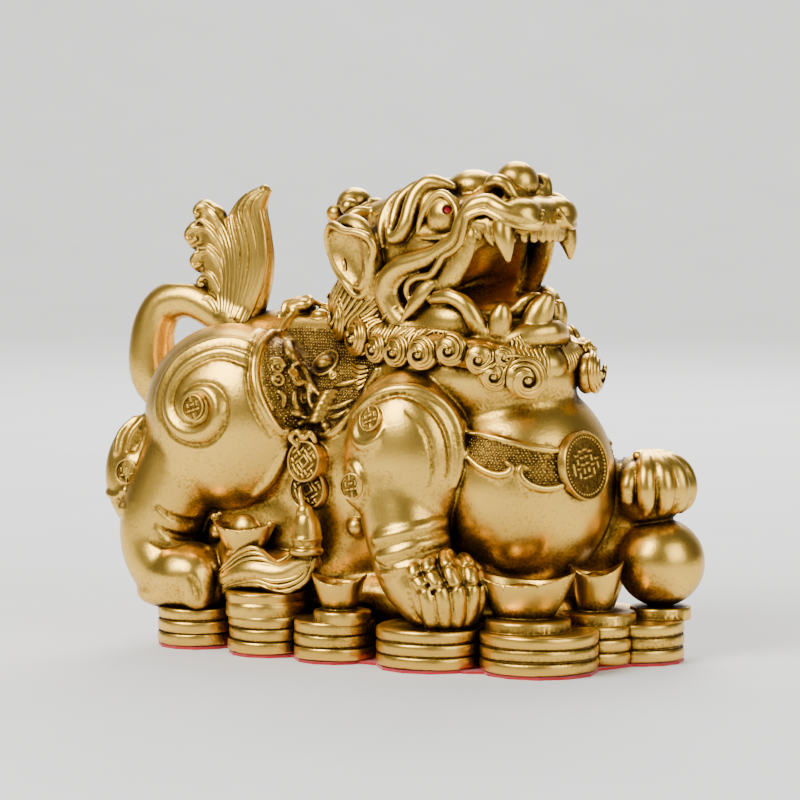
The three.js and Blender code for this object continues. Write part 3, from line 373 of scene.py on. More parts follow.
# Paws: three toes behind, five knuckled fingers before, and a fist of five fingers on the ball
TOE_CREASES = [
    [(-53, -45.6, 10.4, 0.4), (-51.5, -44, 7.8, 0.9), (-50.5, -43, 3.6, 0.8)],
    [(-51.4, -36.6, 12.8, 0.4), (-49.6, -36, 9.4, 0.9), (-49.4, -35.6, 4, 0.8)],
]
FOOT_CREASES = [
    [(23.4, -44.6, 11, 0.3), (24.4, -45, 7, 0.9), (25.6, -45, 3, 0.8), (26.4, -44.6, 0.6, 0.6)],
    [(12, -41, 19, 0.3), (15, -42, 17, 0.7), (19, -43.6, 16.8, 0.3)],
]
TOES = (-26.5, -32.6, -38.4)
for side in BOTH:
    for y in TOES:
        toe = [(-62, y, 12.6, 4.6), (-56, y - 0.4, 10.4, 4.7), (-54.2, y - 0.6, 4.4, 4.7)]
        claw = [(-58, y, 15.6, 1.9), (-54.4, y - 0.4, 14.2, 1.9), (-51.6, y - 0.6, 11.6, 1.1)]
        body.limb(flip(toe, side), blend=1.6)
        body.limb(flip(claw, side), blend=0.5)
    for rows in TOE_CREASES:
        body.groove(flip(rows, side), blend=0.8)
FINGERS = [1.7, 2.42, 3.1, 3.75, 4.36]
JOINT_STEPS = (10, 14)
fingers, joints = [], []
for number, k in enumerate(FINGERS):
    x, y, rise = 22 + 4.4 * k, -43.6 + 0.5 * k * k + 0.6 * k, 0.4 * number
    down = [
        (x + 0.6, y, 0, 2.2), (x + 0.6, y, 4, 2.45), (x + 0.2, y, 8, 2.45),
        (x - 0.6, y + 0.4, 10.4 + rise, 2.4),
    ]
    back = [
        (x - 2.6, y + 1.2, 12.4 + rise, 2.35), (x - 4.8, y + 2.6, 14 + rise, 2.3),
        (x - 6.8, y + 4.2, 15.2 + rise, 2),
    ]
    path = body.laid(down + back, sink=-0.05, steps=3)
    fingers.append(path)
    for mark in JOINT_STEPS:
        (_, (out,)), half = body.probe(path[mark : mark + 1, :3]), path[mark, 3]
        across = unit(np.cross(out, path[mark + 1, :3] - path[mark, :3])) * half
        top = path[mark, :3] + out * half * 1.05
        joints.append([
            (*(top + share * across - share**2 * out * half * 0.8), 0.6)
            for share in (-1, -0.5, 0, 0.5, 1)
        ])
for path in fingers:
    body.limb(path, blend=0.25, steps=1)
for rows in joints:
    body.limb(rows, blend=0.25, cut=True)
for rows in FOOT_CREASES:
    body.groove(rows, blend=0.8)
body.egg((67.5, 21.6, 33), (9.4, 9.4, 6), blend=1)
FIST = (66.2, 21.6)
THUMB = [(2, 44, 2.4), (8, 43.4, 2.9), (11.8, 40, 2.9), (12.4, 36, 2.2)]
FIST_FINGER = [
    (2, 46.4, 2.2), (7, 46.2, 2.8), (11, 43.4, 3.1), (12.8, 39, 3), (12.4, 35, 2.6),
    (10.6, 32.4, 1.9),
]
for k in range(5):
    turn = math.radians(-86 + 26 * k)
    knuckle = [(r, 48.6 - r * 0.1, 1.5) for r in (2.4, 5.6)]
    for rows, blend in [(FIST_FINGER if k else THUMB, 0.35), (knuckle, 0.3)]:
        finger = [
            (FIST[0] + r * math.cos(turn), FIST[1] + r * math.sin(turn), z, half)
            for r, z, half in rows
        ]
        body.limb(finger, blend=blend)

# Web of rough metal between the belly, the wrist and the ball
WEB = [(44, 19, 14, 9, 9), (55, 20.6, 20, 8, 7), (61, 21.4, 27, 6, 6)]
body.limb(WEB, blend=3)

# Spiral on each haunch: a roll between two grooves winds in to a medal
HAUNCH_ROLL = [
    (-39, -32.6, 76, 1.7), (-48.4, -34.4, 78, 1.8), (-58.8, -36.9, 73.9, 1.8),
    (-63.8, -38.4, 67.7, 1.9), (-64.9, -39.4, 61.4, 2.1), (-63, -40.1, 56.8, 2.3),
    (-58.6, -40.9, 53.6, 2.6), (-53.2, -41.2, 52.9, 2.8), (-48, -41.1, 55, 2.9),
    (-45.6, -40.8, 59.5, 2.7), (-46.6, -40.4, 63.6, 2.2), (-49.9, -40.3, 66.4, 1.7),
    (-53.8, -40.3, 66.4, 1.2), (-57, -40.6, 64.6, 0.7),
]
OUTER_GROOVE = [
    (-39.6, -31.1, 78.3, 0.6), (-49.2, -33.2, 79.8, 0.7), (-61.9, -36.2, 74.6, 0.7),
    (-66.5, -37.9, 66.9, 0.7), (-67.6, -38.7, 61.3, 0.7), (-66.1, -39.4, 56.6, 0.7),
    (-61.9, -40.3, 51.8, 0.7), (-53.5, -41, 49.6, 0.7), (-46.9, -40.9, 51.4, 0.7),
    (-42.6, -40.4, 57, 0.7), (-42.4, -39.9, 62.1, 0.7), (-44.2, -39.7, 66, 0.7),
    (-47.9, -39.7, 68.4, 0.6), (-52.1, -39.9, 68.6, 0.5), (-55.9, -40.2, 67.4, 0.4),
    (-58.1, -40.5, 65.5, 0.3),
]
INNER_GROOVE = [
    (-38.2, -34.2, 73.4, 0.6), (-47.6, -35.6, 75.9, 0.7), (-55.7, -37.6, 73.1, 0.7),
    (-60.9, -39, 68.1, 0.7), (-62.2, -40.1, 62.3, 0.7), (-60.3, -40.8, 58.8, 0.6),
    (-57.2, -41.3, 56.5, 0.6), (-53.1, -41.5, 56, 0.6), (-49.6, -41.4, 57.9, 0.5),
    (-48.8, -41, 61.3, 0.4), (-50, -40.7, 64, 0.3),
]
OUTER_LIP = [
    (-40.6, -29.5, 80.6, 0.7), (-49.6, -31.6, 82, 0.8), (-63.2, -34.8, 76.4, 0.8),
    (-68.6, -36.8, 67.6, 0.8), (-69.8, -37.6, 61, 0.7), (-68.4, -38.4, 55.2, 0.5),
]
for side in BOTH:
    body.roll(flip(OUTER_LIP, side), sink=0.3, blend=1.2)
    body.roll(flip(HAUNCH_ROLL, side), sink=0.5, blend=0.8)
    body.groove(flip(OUTER_GROOVE, side), blend=0.5)
    body.groove(flip(INNER_GROOVE, side), blend=0.5)

# Rim round each shoulder, with a groove inside it; the left shoulder stands further forward
RIM_EDGE = [
    (-2.6, -36.4, 61, 0.8), (4.5, -35.6, 65.4, 1.6), (10, -34.9, 68, 1.9), (15.5, -33.6, 69, 2),
    (20.5, -31.6, 68.4, 2.1), (24.6, -29.6, 66, 2.1), (27.8, -27.8, 62.4, 2.1),
    (30.1, -27, 57.6, 2.1), (31.3, -27, 52.2, 2), (31.4, -27.6, 46.4, 1.7), (30.4, -28.8, 41, 1.1),
]
RIM_GROOVE = [
    (2.4, -37.6, 61.6, 0.4), (6.6, -36.9, 64.2, 0.7), (11.7, -36.1, 66.4, 0.75),
    (16.4, -34.9, 67, 0.75), (21, -33.8, 65.2, 0.8), (25, -32.6, 62.2, 0.8),
    (27.8, -31.6, 57.6, 0.8), (29.2, -31.2, 52.6, 0.75), (29.6, -31.2, 47.4, 0.6),
    (29.2, -31.6, 43.9, 0.4),
]
RIM_LINE = [
    (18.6, -36.4, 62.4, 0.3), (22.6, -35.2, 58.4, 0.6), (25, -34.4, 53.2, 0.7),
    (25.8, -34.2, 47.4, 0.6), (25, -34.6, 41.4, 0.3),
]
CRESCENTS = [
    [
        (1.6, -37.4, 59.4, 0.6), (1.5, -37.9, 56, 1.5), (3.6, -39, 53.2, 2),
        (7.4, -40.2, 52.6, 2.1), (10.9, -40.4, 54.4, 1.6), (12.7, -39.9, 57.8, 0.6),
    ],
    [
        (-6.4, -31, 42.6, 0.6), (-3.2, -34.6, 45.4, 1.3), (1.2, -37.4, 46, 1.8),
        (4.3, -39, 43.6, 2), (4.9, -38.8, 39.6, 1.9), (3, -37, 35.6, 1.4), (-1, -33.6, 33.4, 0.6),
    ],
]
LEFT_SHIFT = 9


def on_shoulder(rows, side):
    """Rows of the right shoulder, or their mirror images on the left one"""
    return flip([(x if side > 0 else x + LEFT_SHIFT, *rest) for x, *rest in rows], side)


ELBOW_BOSS, BOSS_FACE = (2.6, -36.8, 40.4), (2.6, -40.8, 40.4)
for side in BOTH:
    body.egg(on_shoulder([ELBOW_BOSS], side)[0], (5.4, 4.2, 7), blend=0.8)
    body.roll(on_shoulder(RIM_EDGE, side), sink=0.35, blend=0.6)
    body.groove(on_shoulder(RIM_GROOVE, side), sink=-0.2, blend=0.6)
    body.groove(on_shoulder(RIM_LINE, side), sink=-0.2, blend=0.6)
    for rows in CRESCENTS:
        body.roll(on_shoulder(rows, side), sink=0.4, blend=0.7)
    knob = body.settle(on_shoulder([(-4.6, -29, 25.8)], side))[0]
    body.egg(knob, (3.2, 3.2, 3.2), blend=0.4)

# Strap folds between the belly and the haunch
STRAP_FOLD = [
    (-30.6, -28, 50, 1.1), (-31.8, -29.4, 44, 1.7), (-34.4, -30.4, 38, 1.8),
    (-38.4, -31, 32.6, 1.2),
]
for side in BOTH:
    body.roll(flip(STRAP_FOLD, side), sink=0.2, blend=0.8)

# Flame at each hock, with ribs, and a bead under it
FLAME = [
    (-80, -31, 22, 4, 3), (-84.6, -31.5, 31, 6.6, 4), (-86.4, -30.6, 40, 7.6, 4.2),
    (-85, -29, 49, 5.6, 3.8), (-78, -27, 57.6, 1.4, 2),
]
FLAME_RIBS = [
    [(-91.5, -29, 31, 1), (-93.2, -28, 39, 1.3), (-91.2, -27.5, 47.5, 1.2), (-86.5, -27, 54, 0.8)],
    [(-88, -32, 45, 1), (-87.5, -30.6, 50, 1.3), (-83.6, -29, 55.6, 0.9)],
    [(-84.5, -33.4, 46, 1), (-83.6, -31.6, 51, 1.3), (-80, -29.4, 56.4, 0.8)],
    [
        (-81.6, -33, 31, 0.9), (-79.4, -32.6, 38, 1.6), (-78.6, -31.4, 46, 1.9),
        (-77.4, -29.6, 53.6, 1.2),
    ],
    [(-92, -30, 35.6, 0.8), (-90.4, -32, 33, 1.1), (-86.6, -33.6, 32, 1.2), (-83, -34, 34, 0.9)],
]
for side in BOTH:
    body.limb(flip(FLAME, side), up=LEFT, blend=1)
    for rows in FLAME_RIBS:
        body.roll(flip(rows, side), sink=0.2, blend=0.5)
    body.egg((-82.6, -33.8 * side, 39.8), (5.2, 2.4, 6), blend=0.5)
    body.egg((-82.4, -36.4 * side, 28.6), (2.9, 2.9, 2.9), blend=0.4)

# Saddle cloth: a rolled border with knobs, round a stippled ground with a relief of scrolls
SADDLE_EDGE = [
    (-42, 0, 88.6, 1.3), (-42.1, -9.9, 84.2, 1.4), (-40, -19.7, 82.7, 1.4),
    (-38.1, -28.1, 79.7, 1.45), (-37.2, -32.2, 75.9, 1.5), (-36.1, -34.5, 71.3, 1.5),
    (-34.2, -35.6, 66, 1.5), (-32, -35.3, 61.3, 1.5), (-29.9, -34.2, 57.2, 1.45),
    (-28, -32.2, 54.2, 1.2),
]
SADDLE_LINE = [
    (-44.6, -12, 85, 0.3), (-42.6, -22, 82.6, 0.5), (-40.1, -30.5, 79.1, 0.55),
    (-38.6, -33.8, 75.3, 0.6), (-37.9, -35.9, 70.6, 0.6), (-36.1, -36.9, 64.7, 0.6),
    (-33.6, -36.4, 58.6, 0.55), (-30.8, -34.2, 53, 0.4),
]
SADDLE_FRONT = [
    (-17.3, -27.9, 53.4, 1), (-13.4, -27.8, 54, 1.35), (-10, -27.2, 56.3, 1.45),
    (-6.4, -26, 61, 1.45), (-4, -24, 65.4, 1.4), (-3.2, -22.4, 68.4, 1.3), (-0.5, -22, 73.2, 1.1),
]
SADDLE_PLAN = [
    (-41.4, 83.2), (-36.4, 84.6), (-31.2, 84), (-21.1, 84), (-6, 82), (-2, 74), (-3, 66),
    (-7, 59.6), (-11, 55.4), (-18, 53.4), (-23.6, 53.6), (-27.5, 55.1), (-30.3, 59.9), (-32.5, 66),
    (-34.3, 71.3), (-35.5, 75.9), (-37.2, 80.9),
]
RELIEF = [
    [
        (-37.2, -13.1, 80, 0.6), (-35.4, -18, 79.6, 1.1), (-33.4, -21.4, 78.4, 1.6),
        (-31.2, -23.4, 76.2, 1.8), (-29.4, -23, 73.6, 1.2),
    ],
    [
        (-29.7, -22.6, 74.8, 0.9), (-27.7, -21.6, 72.3, 1.3), (-25.6, -21.3, 69.4, 1.4),
        (-22.5, -22.8, 66.7, 1.2), (-19.8, -23.9, 65.1, 0.7),
    ],
    [
        (-29.1, -18.8, 74, 0.5), (-26.8, -19.2, 71.8, 0.9), (-25.7, -21.2, 69.5, 0.9),
        (-23.2, -22.2, 67.6, 0.6),
    ],
    [(-33, -29.8, 76.4, 0.5), (-31.4, -28, 75.6, 0.9), (-30.4, -27.4, 73.6, 0.8)],
    [
        (-26.5, -26.4, 68.1, 0.8), (-25.5, -23.6, 68, 1.2), (-23.8, -23.1, 65.9, 1.3),
        (-22.8, -24.4, 63.3, 1.2), (-21.1, -25.4, 61.1, 0.8),
    ],
    [
        (-26.2, -27.8, 65.8, 0.7), (-26, -28.7, 63.2, 1), (-25.1, -28, 61.1, 1),
        (-24.2, -26.3, 60.7, 0.6),
    ],
    [(-29, -32, 66.4, 0.5), (-28, -31, 64.6, 0.9), (-28.2, -31.2, 62, 0.7)],
    [(-25.8, -29.4, 59.8, 0.7), (-24.6, -27.5, 59, 1), (-23.6, -26, 59.7, 0.7)],
    [
        (-24.5, -27.6, 56.3, 0.7), (-23.2, -26.5, 57.4, 0.9), (-20, -27.1, 56.6, 0.9),
        (-20.6, -27.2, 54.8, 0.6),
    ],
    [(-14.8, -25.8, 61.4, 0.6), (-11, -25.4, 62.2, 1), (-7.6, -24.4, 64, 0.6)],
    [(-13.8, -26.6, 58.8, 0.6), (-10.8, -26.3, 59.6, 0.9), (-8.5, -25.5, 61.3, 0.5)],
    [(-14.6, -24, 68.6, 0.6), (-11, -23.6, 69.4, 0.9), (-7.4, -22.6, 70.4, 0.5)],
]
RINGLETS = [
    (-28.9, -23.4, 73.6, 1.5, 0.55), (-28.1, -25.9, 71.4, 1.4, 0.55), (-27, -25.7, 69.6, 1.4, 0.5),
    (-31.5, -29.3, 73.2, 1.6, 0.5), (-30.2, -30.8, 69.6, 1.7, 0.5), (-24.8, -25.4, 63.8, 1.3, 0.45),
    (-22.4, -26.8, 58.8, 1.3, 0.45), (-16.8, -22, 71.4, 1.2, 0.4),
]
RIBS = [
    (-16.5, -24.1, 65.8), (-17.1, -24.8, 64.2), (-17.7, -25.4, 62.5), (-18.3, -25.9, 60.8),
    (-18.7, -26.4, 59.1), (-19, -26.8, 57.5),
]
SADDLE_KNOBS = [(-26.5, -30.4, 54, 2), (-15.2, -27.5, 56, 1.9)]
SADDLE_BOSS = (-21.4, -18.1, 74.2)
SADDLE_PITCH = 0.95
RIB_REACH = 2.7
stipple_ground = []
wires = []


def inside(plan, x, z):
    """Which places lie inside a closed plan"""
    within = np.zeros(len(x), bool)
    for (ax, az), (bx, bz) in zip(plan, plan[1:] + plan[:1]):
        if az != bz:
            within ^= ((az > z) != (bz > z)) & (x < (bx - ax) * (z - az) / (bz - az) + ax)
    return within


def stippled(plan, side, pitch, start):
    """Close-set places on the body's side, inside a plan of x and z"""
    low, high = np.min(plan, 0), np.max(plan, 0)
    dice = np.random.default_rng(7)
    x, z = np.meshgrid(np.arange(low[0], high[0], pitch), np.arange(low[1], high[1], pitch * 0.87))
    x[::2] += pitch / 2
    x, z = (part.ravel() + dice.uniform(-0.16, 0.16, part.size) * pitch for part in (x, z))
    within = inside(plan, x, z)
    x, z = x[within], z[within]
    y = np.full(len(x), -start * side, float)
    for _ in range(60):
        depth, _ = body.probe(np.column_stack([x, y, z]))
        y += np.clip(depth, -0.6, 0.6) * side
    return np.column_stack([x, y, z])


def ringlet(x, y, z, radius, half):
    """A small ring laid on the body's surface, with a bead in it"""
    place = body.settle([(x, y, z)])[0]
    out = body.probe([place])[1][0]
    across = unit(np.cross(UP, out))
    over = np.cross(out, across)
    turns = np.linspace(0, 2 * math.pi, 11)[:, None]
    ring = place + out * half * 0.5 + radius * (across * np.cos(turns) + over * np.sin(turns))
    wires.append(np.hstack([ring, np.full((11, 1), half)]))
    body.limb(wires[-1], blend=0.25, steps=1)
    body.egg(place + out * 0.3, (radius * 0.45,) * 3, blend=0.2)


for side in BOTH:
    stipple_ground.append(stippled(SADDLE_PLAN, side, SADDLE_PITCH, 40))
    body.roll(flip(SADDLE_EDGE, side), sink=0)
    body.groove(flip(SADDLE_LINE, side), sink=-0.2, blend=0.6)
    body.roll(flip(SADDLE_FRONT, side), sink=0)
    for x, y, z, half in SADDLE_KNOBS:
        body.egg(body.settle([(x, y * side, z)])[0], (half, half, half), blend=0.4)
    boss_place = body.settle(flip([SADDLE_BOSS], side))[0]
    boss_way = body.probe([boss_place])[1][0]
    body.disc(boss_place, boss_way, 5, -2, 0.9, edge=0.5)
    body.disc(boss_place + boss_way * 0.4, boss_way, 4.1, 0, 2, edge=0.3, cut=True)
    body.egg(boss_place, (3.4, 3.4, 3.4 - 1.4 * abs(boss_way[2])), blend=0.3)
    for rows in RELIEF if side > 0 else RELIEF[4:]:
        wires.append(body.laid(flip(rows, side), sink=-0.3))
    for path in wires:
        body.limb(path, blend=0.3, steps=1)
    for row in flip(RINGLETS, side):
        ringlet(*row)
    for x, y, z in body.settle(flip(RIBS, side)):
        behind = (x - RIB_REACH, y + 0.2 * side, z - 0.5, 0.95)
        before = (x + RIB_REACH, y + 0.2 * side, z + 0.5, 0.95)
        body.limb([behind, (x, y - 1.5 * side, z, 1.15), before], blend=0.15)

# The cloth's knotted crest along the spine
SPINE_KNOT = [
    (-44, -3, 90.6, 3.4, 3), (-41.6, 3.4, 91.4, 3, 2.6), (-38, -1, 92.6, 3.6, 2.8),
    (-34.4, 3, 92, 2.8, 2.6), (-33, -4, 91, 3, 2.4), (-28.4, 0, 91, 3.2, 2.6),
    (-24.6, -4, 89.6, 2.8, 2.4), (-23.6, 3.6, 89.4, 2.8, 2.4), (-18.6, -1, 89, 3.4, 2.6),
    (-14, 3, 87.4, 3, 2.4), (-13, -4.4, 87, 2.8, 2.4),
]
SPINE_SCROLLS = [
    [
        (-46, -6, 87, 0.8), (-44.6, -2, 91.4, 1.3), (-41.6, 1, 93.2, 1.4), (-38.4, -0.4, 94, 1.2),
        (-36, -3, 92, 0.8),
    ],
    [(-36, 2, 93, 0.8), (-31.6, 3.6, 92.6, 1.2), (-28, 1, 93, 1.1), (-26, -3, 91, 0.7)],
    [(-24, 3, 91, 0.7), (-20.4, 1.6, 91, 1.1), (-18, -2, 90.4, 1), (-20, -5, 88.6, 0.7)],
]
for x, y, z, wide, high in SPINE_KNOT:
    body.egg(body.settle([(x, y, z)])[0], (wide, wide * 0.8, high * 0.8), blend=0.7)
for rows in SPINE_SCROLLS:
    wires.append(body.laid(rows, sink=-0.1))
    body.limb(wires[-1], blend=0.3, steps=1)

# Breast band: a stippled strap between two raised borders that curl up at their ends
BAND_TOP = [
    (26.6, -24, 58, 0.9), (28.4, -24, 57.3, 1), (38.6, -25, 56, 1.05), (46.6, -24, 54.3, 1.05),
    (53.2, -20.6, 52.5, 1.05), (58.6, -15, 51.4, 0.9),
]
BAND_LOW = [
    (29.6, -25.6, 51.8, 0.8), (32, -26.2, 50.4, 1), (35.6, -27, 47.9, 1.1),
    (39.8, -27.4, 45.7, 1.15), (44.1, -26.8, 44.6, 1.2), (47, -25.8, 45.4, 1.2),
    (47.6, -25.4, 47.2, 1.1), (46.2, -25.8, 48.2, 0.9),
]
BAND_NEXT = [
    (51.8, -23.6, 46.6, 0.9), (50.4, -24.2, 47.2, 1.1), (49.8, -24.4, 45.2, 1.2),
    (51.4, -23.7, 42.6, 1.25), (54.7, -21.4, 40.9, 1.2), (58, -18, 40.9, 1.1),
    (60.6, -14.4, 42.6, 0.9),
]
BAND_PLAN = [
    (29.5, 57), (38.6, 55.2), (46.6, 53.4), (53, 51.6), (60, 50.2), (61, 43), (57.6, 41.6),
    (54.7, 41.8), (51.7, 43.6), (50, 47), (47.6, 47), (44, 45.6), (40, 46.8), (35.6, 49.2),
    (31.5, 51.8),
]
BAND_PITCH = 0.9
for side in BOTH:
    stipple_ground.append(stippled(BAND_PLAN, side, BAND_PITCH, 30))
    for rows in [BAND_TOP, BAND_LOW, BAND_NEXT]:
        body.roll(flip(rows, side), sink=0.1, blend=0.3)
MEDAL_WAY = unit((0.97, -0.17, 0.14))
medal_place = np.array((60.6, -7.5, 46.5)) + MEDAL_WAY * 1.3
body.disc(medal_place, MEDAL_WAY, 9.8, 0, 8, edge=0.1, blend=0.1, cut=True)

# Pendant: a knot, a cord down over two coins, and a bell with threads that sweep over the bed
KNOT = [
    (-22.4, -32.2, 50.6, 0.9), (-24.4, -32.6, 53, 1), (-22, -32.8, 54.6, 0.9),
    (-19.6, -32.6, 53, 0.9), (-17.4, -32.6, 54.4, 0.9), (-16.2, -32, 52, 0.8),
]
CORD = [
    (-20.6, -33, 38, 0.7), (-19.8, -34.6, 36, 0.8), (-18.8, -35, 33.6, 0.9),
    (-18.4, -34.8, 32.6, 1.1),
]
BELL = [
    (-18.3, -34.6, 32, 1.7), (-18.2, -34.6, 31, 2.6), (-18.1, -34.4, 30, 2.4),
    (-18, -34.3, 29.2, 2), (-17.9, -34.2, 28, 3.6), (-17.8, -34, 25.4, 4.3),
    (-17.8, -34, 22.6, 4.4), (-17.8, -34, 20.6, 3.6),
]
TOP_THREAD = [
    (-22.4, -33.4, 18.6), (-27.9, -35.5, 15.4), (-34.1, -37, 19.3), (-39.6, -37.5, 18),
    (-44, -37.4, 14.4), (-47.4, -37, 11.6),
]
LOW_THREAD = [
    (-14.6, -34.4, 18.4), (-16.4, -36.4, 11), (-23.7, -38.4, 7), (-31.6, -39, 8.6), (-39, -39, 8),
    (-45, -38.6, 5.6),
]
THREADS = 9
THREAD_HALVES = np.array([0.8, 0.88, 0.96, 0.96, 0.88, 0.5])[:, None]
COIN_PLATES = [(-19.3, -31, 37.5, 0), (-19.7, -32.2, 45.9, -0.15)]
BELL_RINGS = [(29.4, 3, 0.5), (23.2, 4.9, 0.4), (19.4, 5.1, 1.2)]
TASSEL_CORE = [
    (-18, -33, 15.4, 4), (-26, -34, 11.6, 4.6), (-36, -35, 12, 5), (-45, -35.4, 9.4, 3.4),
]
threads = []
for side in BOTH:
    body.egg((-20.5, -30.5 * side, 53), (3, 2.4, 2.2), blend=0.4)
    body.limb(flip(KNOT, side), blend=0.3)
    for x, y, z, lean in COIN_PLATES:
        body.disc((x, y * side, z), (lean, -side, 0.1), 6.2, -4.5, 0.1)
    body.limb(flip(CORD, side), blend=0.4)
    body.limb(flip(BELL, side), blend=0.2)
    for z, radius, half in BELL_RINGS:
        body.disc((-17.9, -34.2 * side, z), UP, radius, -half, half, edge=half * 0.8)
    body.limb(flip(TASSEL_CORE, side), blend=1)
    for share in np.linspace(0, 1, THREADS):
        path = (1 - share) * np.array(TOP_THREAD) + share * np.array(LOW_THREAD)
        threads.append(smooth_path(flip(np.hstack([path, THREAD_HALVES]), side), 6))


# Ingots and loose coins round the feet
def ingot(x, y, z, half, wide, high, turn, dome):
    """A boat-shaped dish with a thin rim, points at both ends and a dome inside"""
    place = np.array((x, y, z), float)
    reach = half + 3
    cells, sides = body.room(place - reach, place + (reach, reach, high + 3))
    x, y, z = (side - np.float32(c) for side, c in zip(sides, place))
    turn = math.radians(turn)
    x, y = x * math.cos(turn) + y * math.sin(turn), y * math.cos(turn) - x * math.sin(turn)
    spread = 0.54 + 0.46 * np.clip(z / high, 0, 1) ** 0.8
    outside = (np.sqrt((x / half) ** 2 + (y / wide) ** 2) - spread) * wide
    rim = z - high * (0.74 + 0.26 * np.clip(np.abs(x / half), 0, 1) ** 2.4)
    well = np.maximum(outside + 1.3, high * 0.36 - z)
    dish = -smooth_min(-np.maximum(outside, rim), well, 0.5)
    body.merge(cells, np.maximum(dish, -1 - z).astype(np.float32), 0.4)
    axes = [(math.cos(turn), math.sin(turn), 0), (-math.sin(turn), math.cos(turn), 0), UP]
    body.egg(
        place + (0, 0, high * 0.42),
        (half * 0.56, wide * 0.6, high * dome),
        axes=axes,
        blend=0.3,
        kept=3,
    )


INGOTS = [
    (50.5, -23, 3, 15.5, 9.5, 14, 14, 0.3), (60.5, 1.5, 3, 8.5, 7.5, 15, 30, 0.35),
    (-5, -36, 3, 8.5, 7.5, 11, 20, 0.3), (-41, -33, 18, 10.5, 7, 9, 5, 0.8),
    (46, 27, 0, 13, 8, 14, -18, 0.3), (-4, 35, 0, 11, 7.5, 14, -10, 0.45),
    (-38, 33, 0, 11, 7, 14, 6, 0.7),
]
for row in INGOTS:
    ingot(*row)
LOOSE_COINS = [
    (52, -23.5, 12.6, -1, 3), (62, 1, 11, -1, 3), (-4, -36, 8.5, -1, 3), (-33, -33.5, 12, -1, 3.4),
    (-33.4, -33.2, 12, 3.6, 6.6), (71.6, 21.6, 9.2, -1, 3),
]
INGOT_BED = [(-50, -27, 16, 5, 5), (-40, -30, 13, 8, 6), (-28, -30, 12, 7, 6)]
PEARLS = [(-51.6, 27.4, 1.3), (-50.6, 25.2, 1), (-49.8, 28.6, 0.8), (-31.4, 26.6, 1)]
for x, y, radius, bottom, top in LOOSE_COINS:
    body.disc((x, y, 0), UP, radius, bottom, top, edge=0.6, blend=0.2)
body.limb(INGOT_BED, blend=1)
body.egg((-55.5, -25.4, 22), (3.2, 3.2, 3.2), blend=0.4)
for x, z, half in PEARLS:
    body.egg((x, -33.4, z), (half, half, half), blend=0.2)

# The bed's filled middle, cut off level under it
STACKS = [
    (-60, -30, 12.8), (-32, -33, 12.6), (-8, -34, 12.4), (23.5, -30.5, 16.6), (55.5, -23, 17.6),
    (70, 12, 13.4), (61.5, -1, 12.4), (-66, 0, 13), (-60, 29, 12.8), (-33, 31, 13),
    (-6, 31.5, 13.4), (21, 30.5, 14), (47, 27, 14.2),
]
BED_FILL = [(-46, 0, -6, 27, 5.8), (42, 2, -6, 27, 5.8)]
body.limb(BED_FILL, blend=0.6)
for x, y, radius in STACKS:
    body.disc((x, y, 0), UP, radius - 1, 0.3 - COINS_IN_A_STACK * COIN_THICKNESS, -0.3, blend=0.2)
heights = body.low[2] + body.grain * np.arange(body.size[2])
body.depth = np.maximum(body.depth, (CASTING_BOTTOM - COIN_TOP + 0.1 - heights).astype(np.float32))
body_skin = poured(body, "body_skin", SKIN_TRIANGLES)

# The head, turned to the figure's right, with its mane and beard.
# It is cast with the body in the same brass, and chased more finely.
# Its places are f forward, s to its own right and z up, and follow the turn of the neck.

HEAD_TURN = math.radians(13)
HEAD_AT = (26, -2)
FORWARD = np.array((math.cos(HEAD_TURN), -math.sin(HEAD_TURN), 0))
RIGHT = np.array((-math.sin(HEAD_TURN), -math.cos(HEAD_TURN), 0))
HEAD_AXES = [FORWARD, RIGHT, UP]


def head_place(rows, side=1):
    """Rows of the head's places as the figure's, on its right or on its left"""
    placed = []
    for f, s, *rest in rows:
        x, y, _ = f * FORWARD + side * s * RIGHT
        placed.append((HEAD_AT[0] + x, HEAD_AT[1] + y, *rest))
    return placed


def head_way(f, s, z, side=1):
    """A direction of the head's as the figure's, at length 1"""
    return unit(f * FORWARD + side * s * RIGHT + z * np.array(UP))


head = Clay((-42, -37, 58), (67, 36, 138), 0.33)


def head_limb(rows, side=1, **how):
    """A limb of the head, from rows of its own places"""
    head.limb(head_place(rows, side), **how)


def head_roll(rows, side=1, **how):
    """A roll on the head's surface"""
    head.roll(head_place(rows, side), **how)


def head_egg(place, radii, side=1, **how):
    """An ellipsoid of the head, turned with it"""
    head.egg(head_place([place], side)[0], radii, axes=HEAD_AXES, **how)


# Skull and jaws, with the mouth cut out of them, then the nape
SKULL = [
    ((-13, 0, 110), (22, 19, 16)), ((6, 0, 118.8), (18.5, 15, 7.4)), ((-12, 0, 100), (16, 20, 17)),
    ((4, 0, 84), (15.5, 14.5, 8.5)),
]
MOUTH = [(-6, 0, 99, 14, 5), (8, 0, 99.5, 15.5, 12), (26, 0, 100, 20, 15.5)]
NAPE = [(-14, 0, 112, 15, 13), (-31, 0, 106, 18, 14), (-40, 0, 94, 18, 12), (-42, 0, 82, 17, 9)]
for place, radii in SKULL:
    head_egg(place, radii, blend=5)
head_limb(MOUTH, blend=2, cut=True, kept=6)
head_limb(NAPE, blend=4, kept=6)
head_egg((17, 0, 119.5), (7.4, 11, 5), blend=3)

# Tongue, with a line down its middle
TONGUE = [(-12, 0, 88, 9, 4), (2, 0, 90, 9, 3.6), (12, 0, 90.5, 7, 3), (16.5, 0, 93.5, 4.5, 2.6)]
TONGUE_LINE = [(-8, 0, 92.5, 0.9), (4, 0, 94, 0.9), (12, 0, 94, 0.8)]
head_limb(TONGUE, blend=1)
head_limb(TONGUE_LINE, blend=0.8, cut=True)

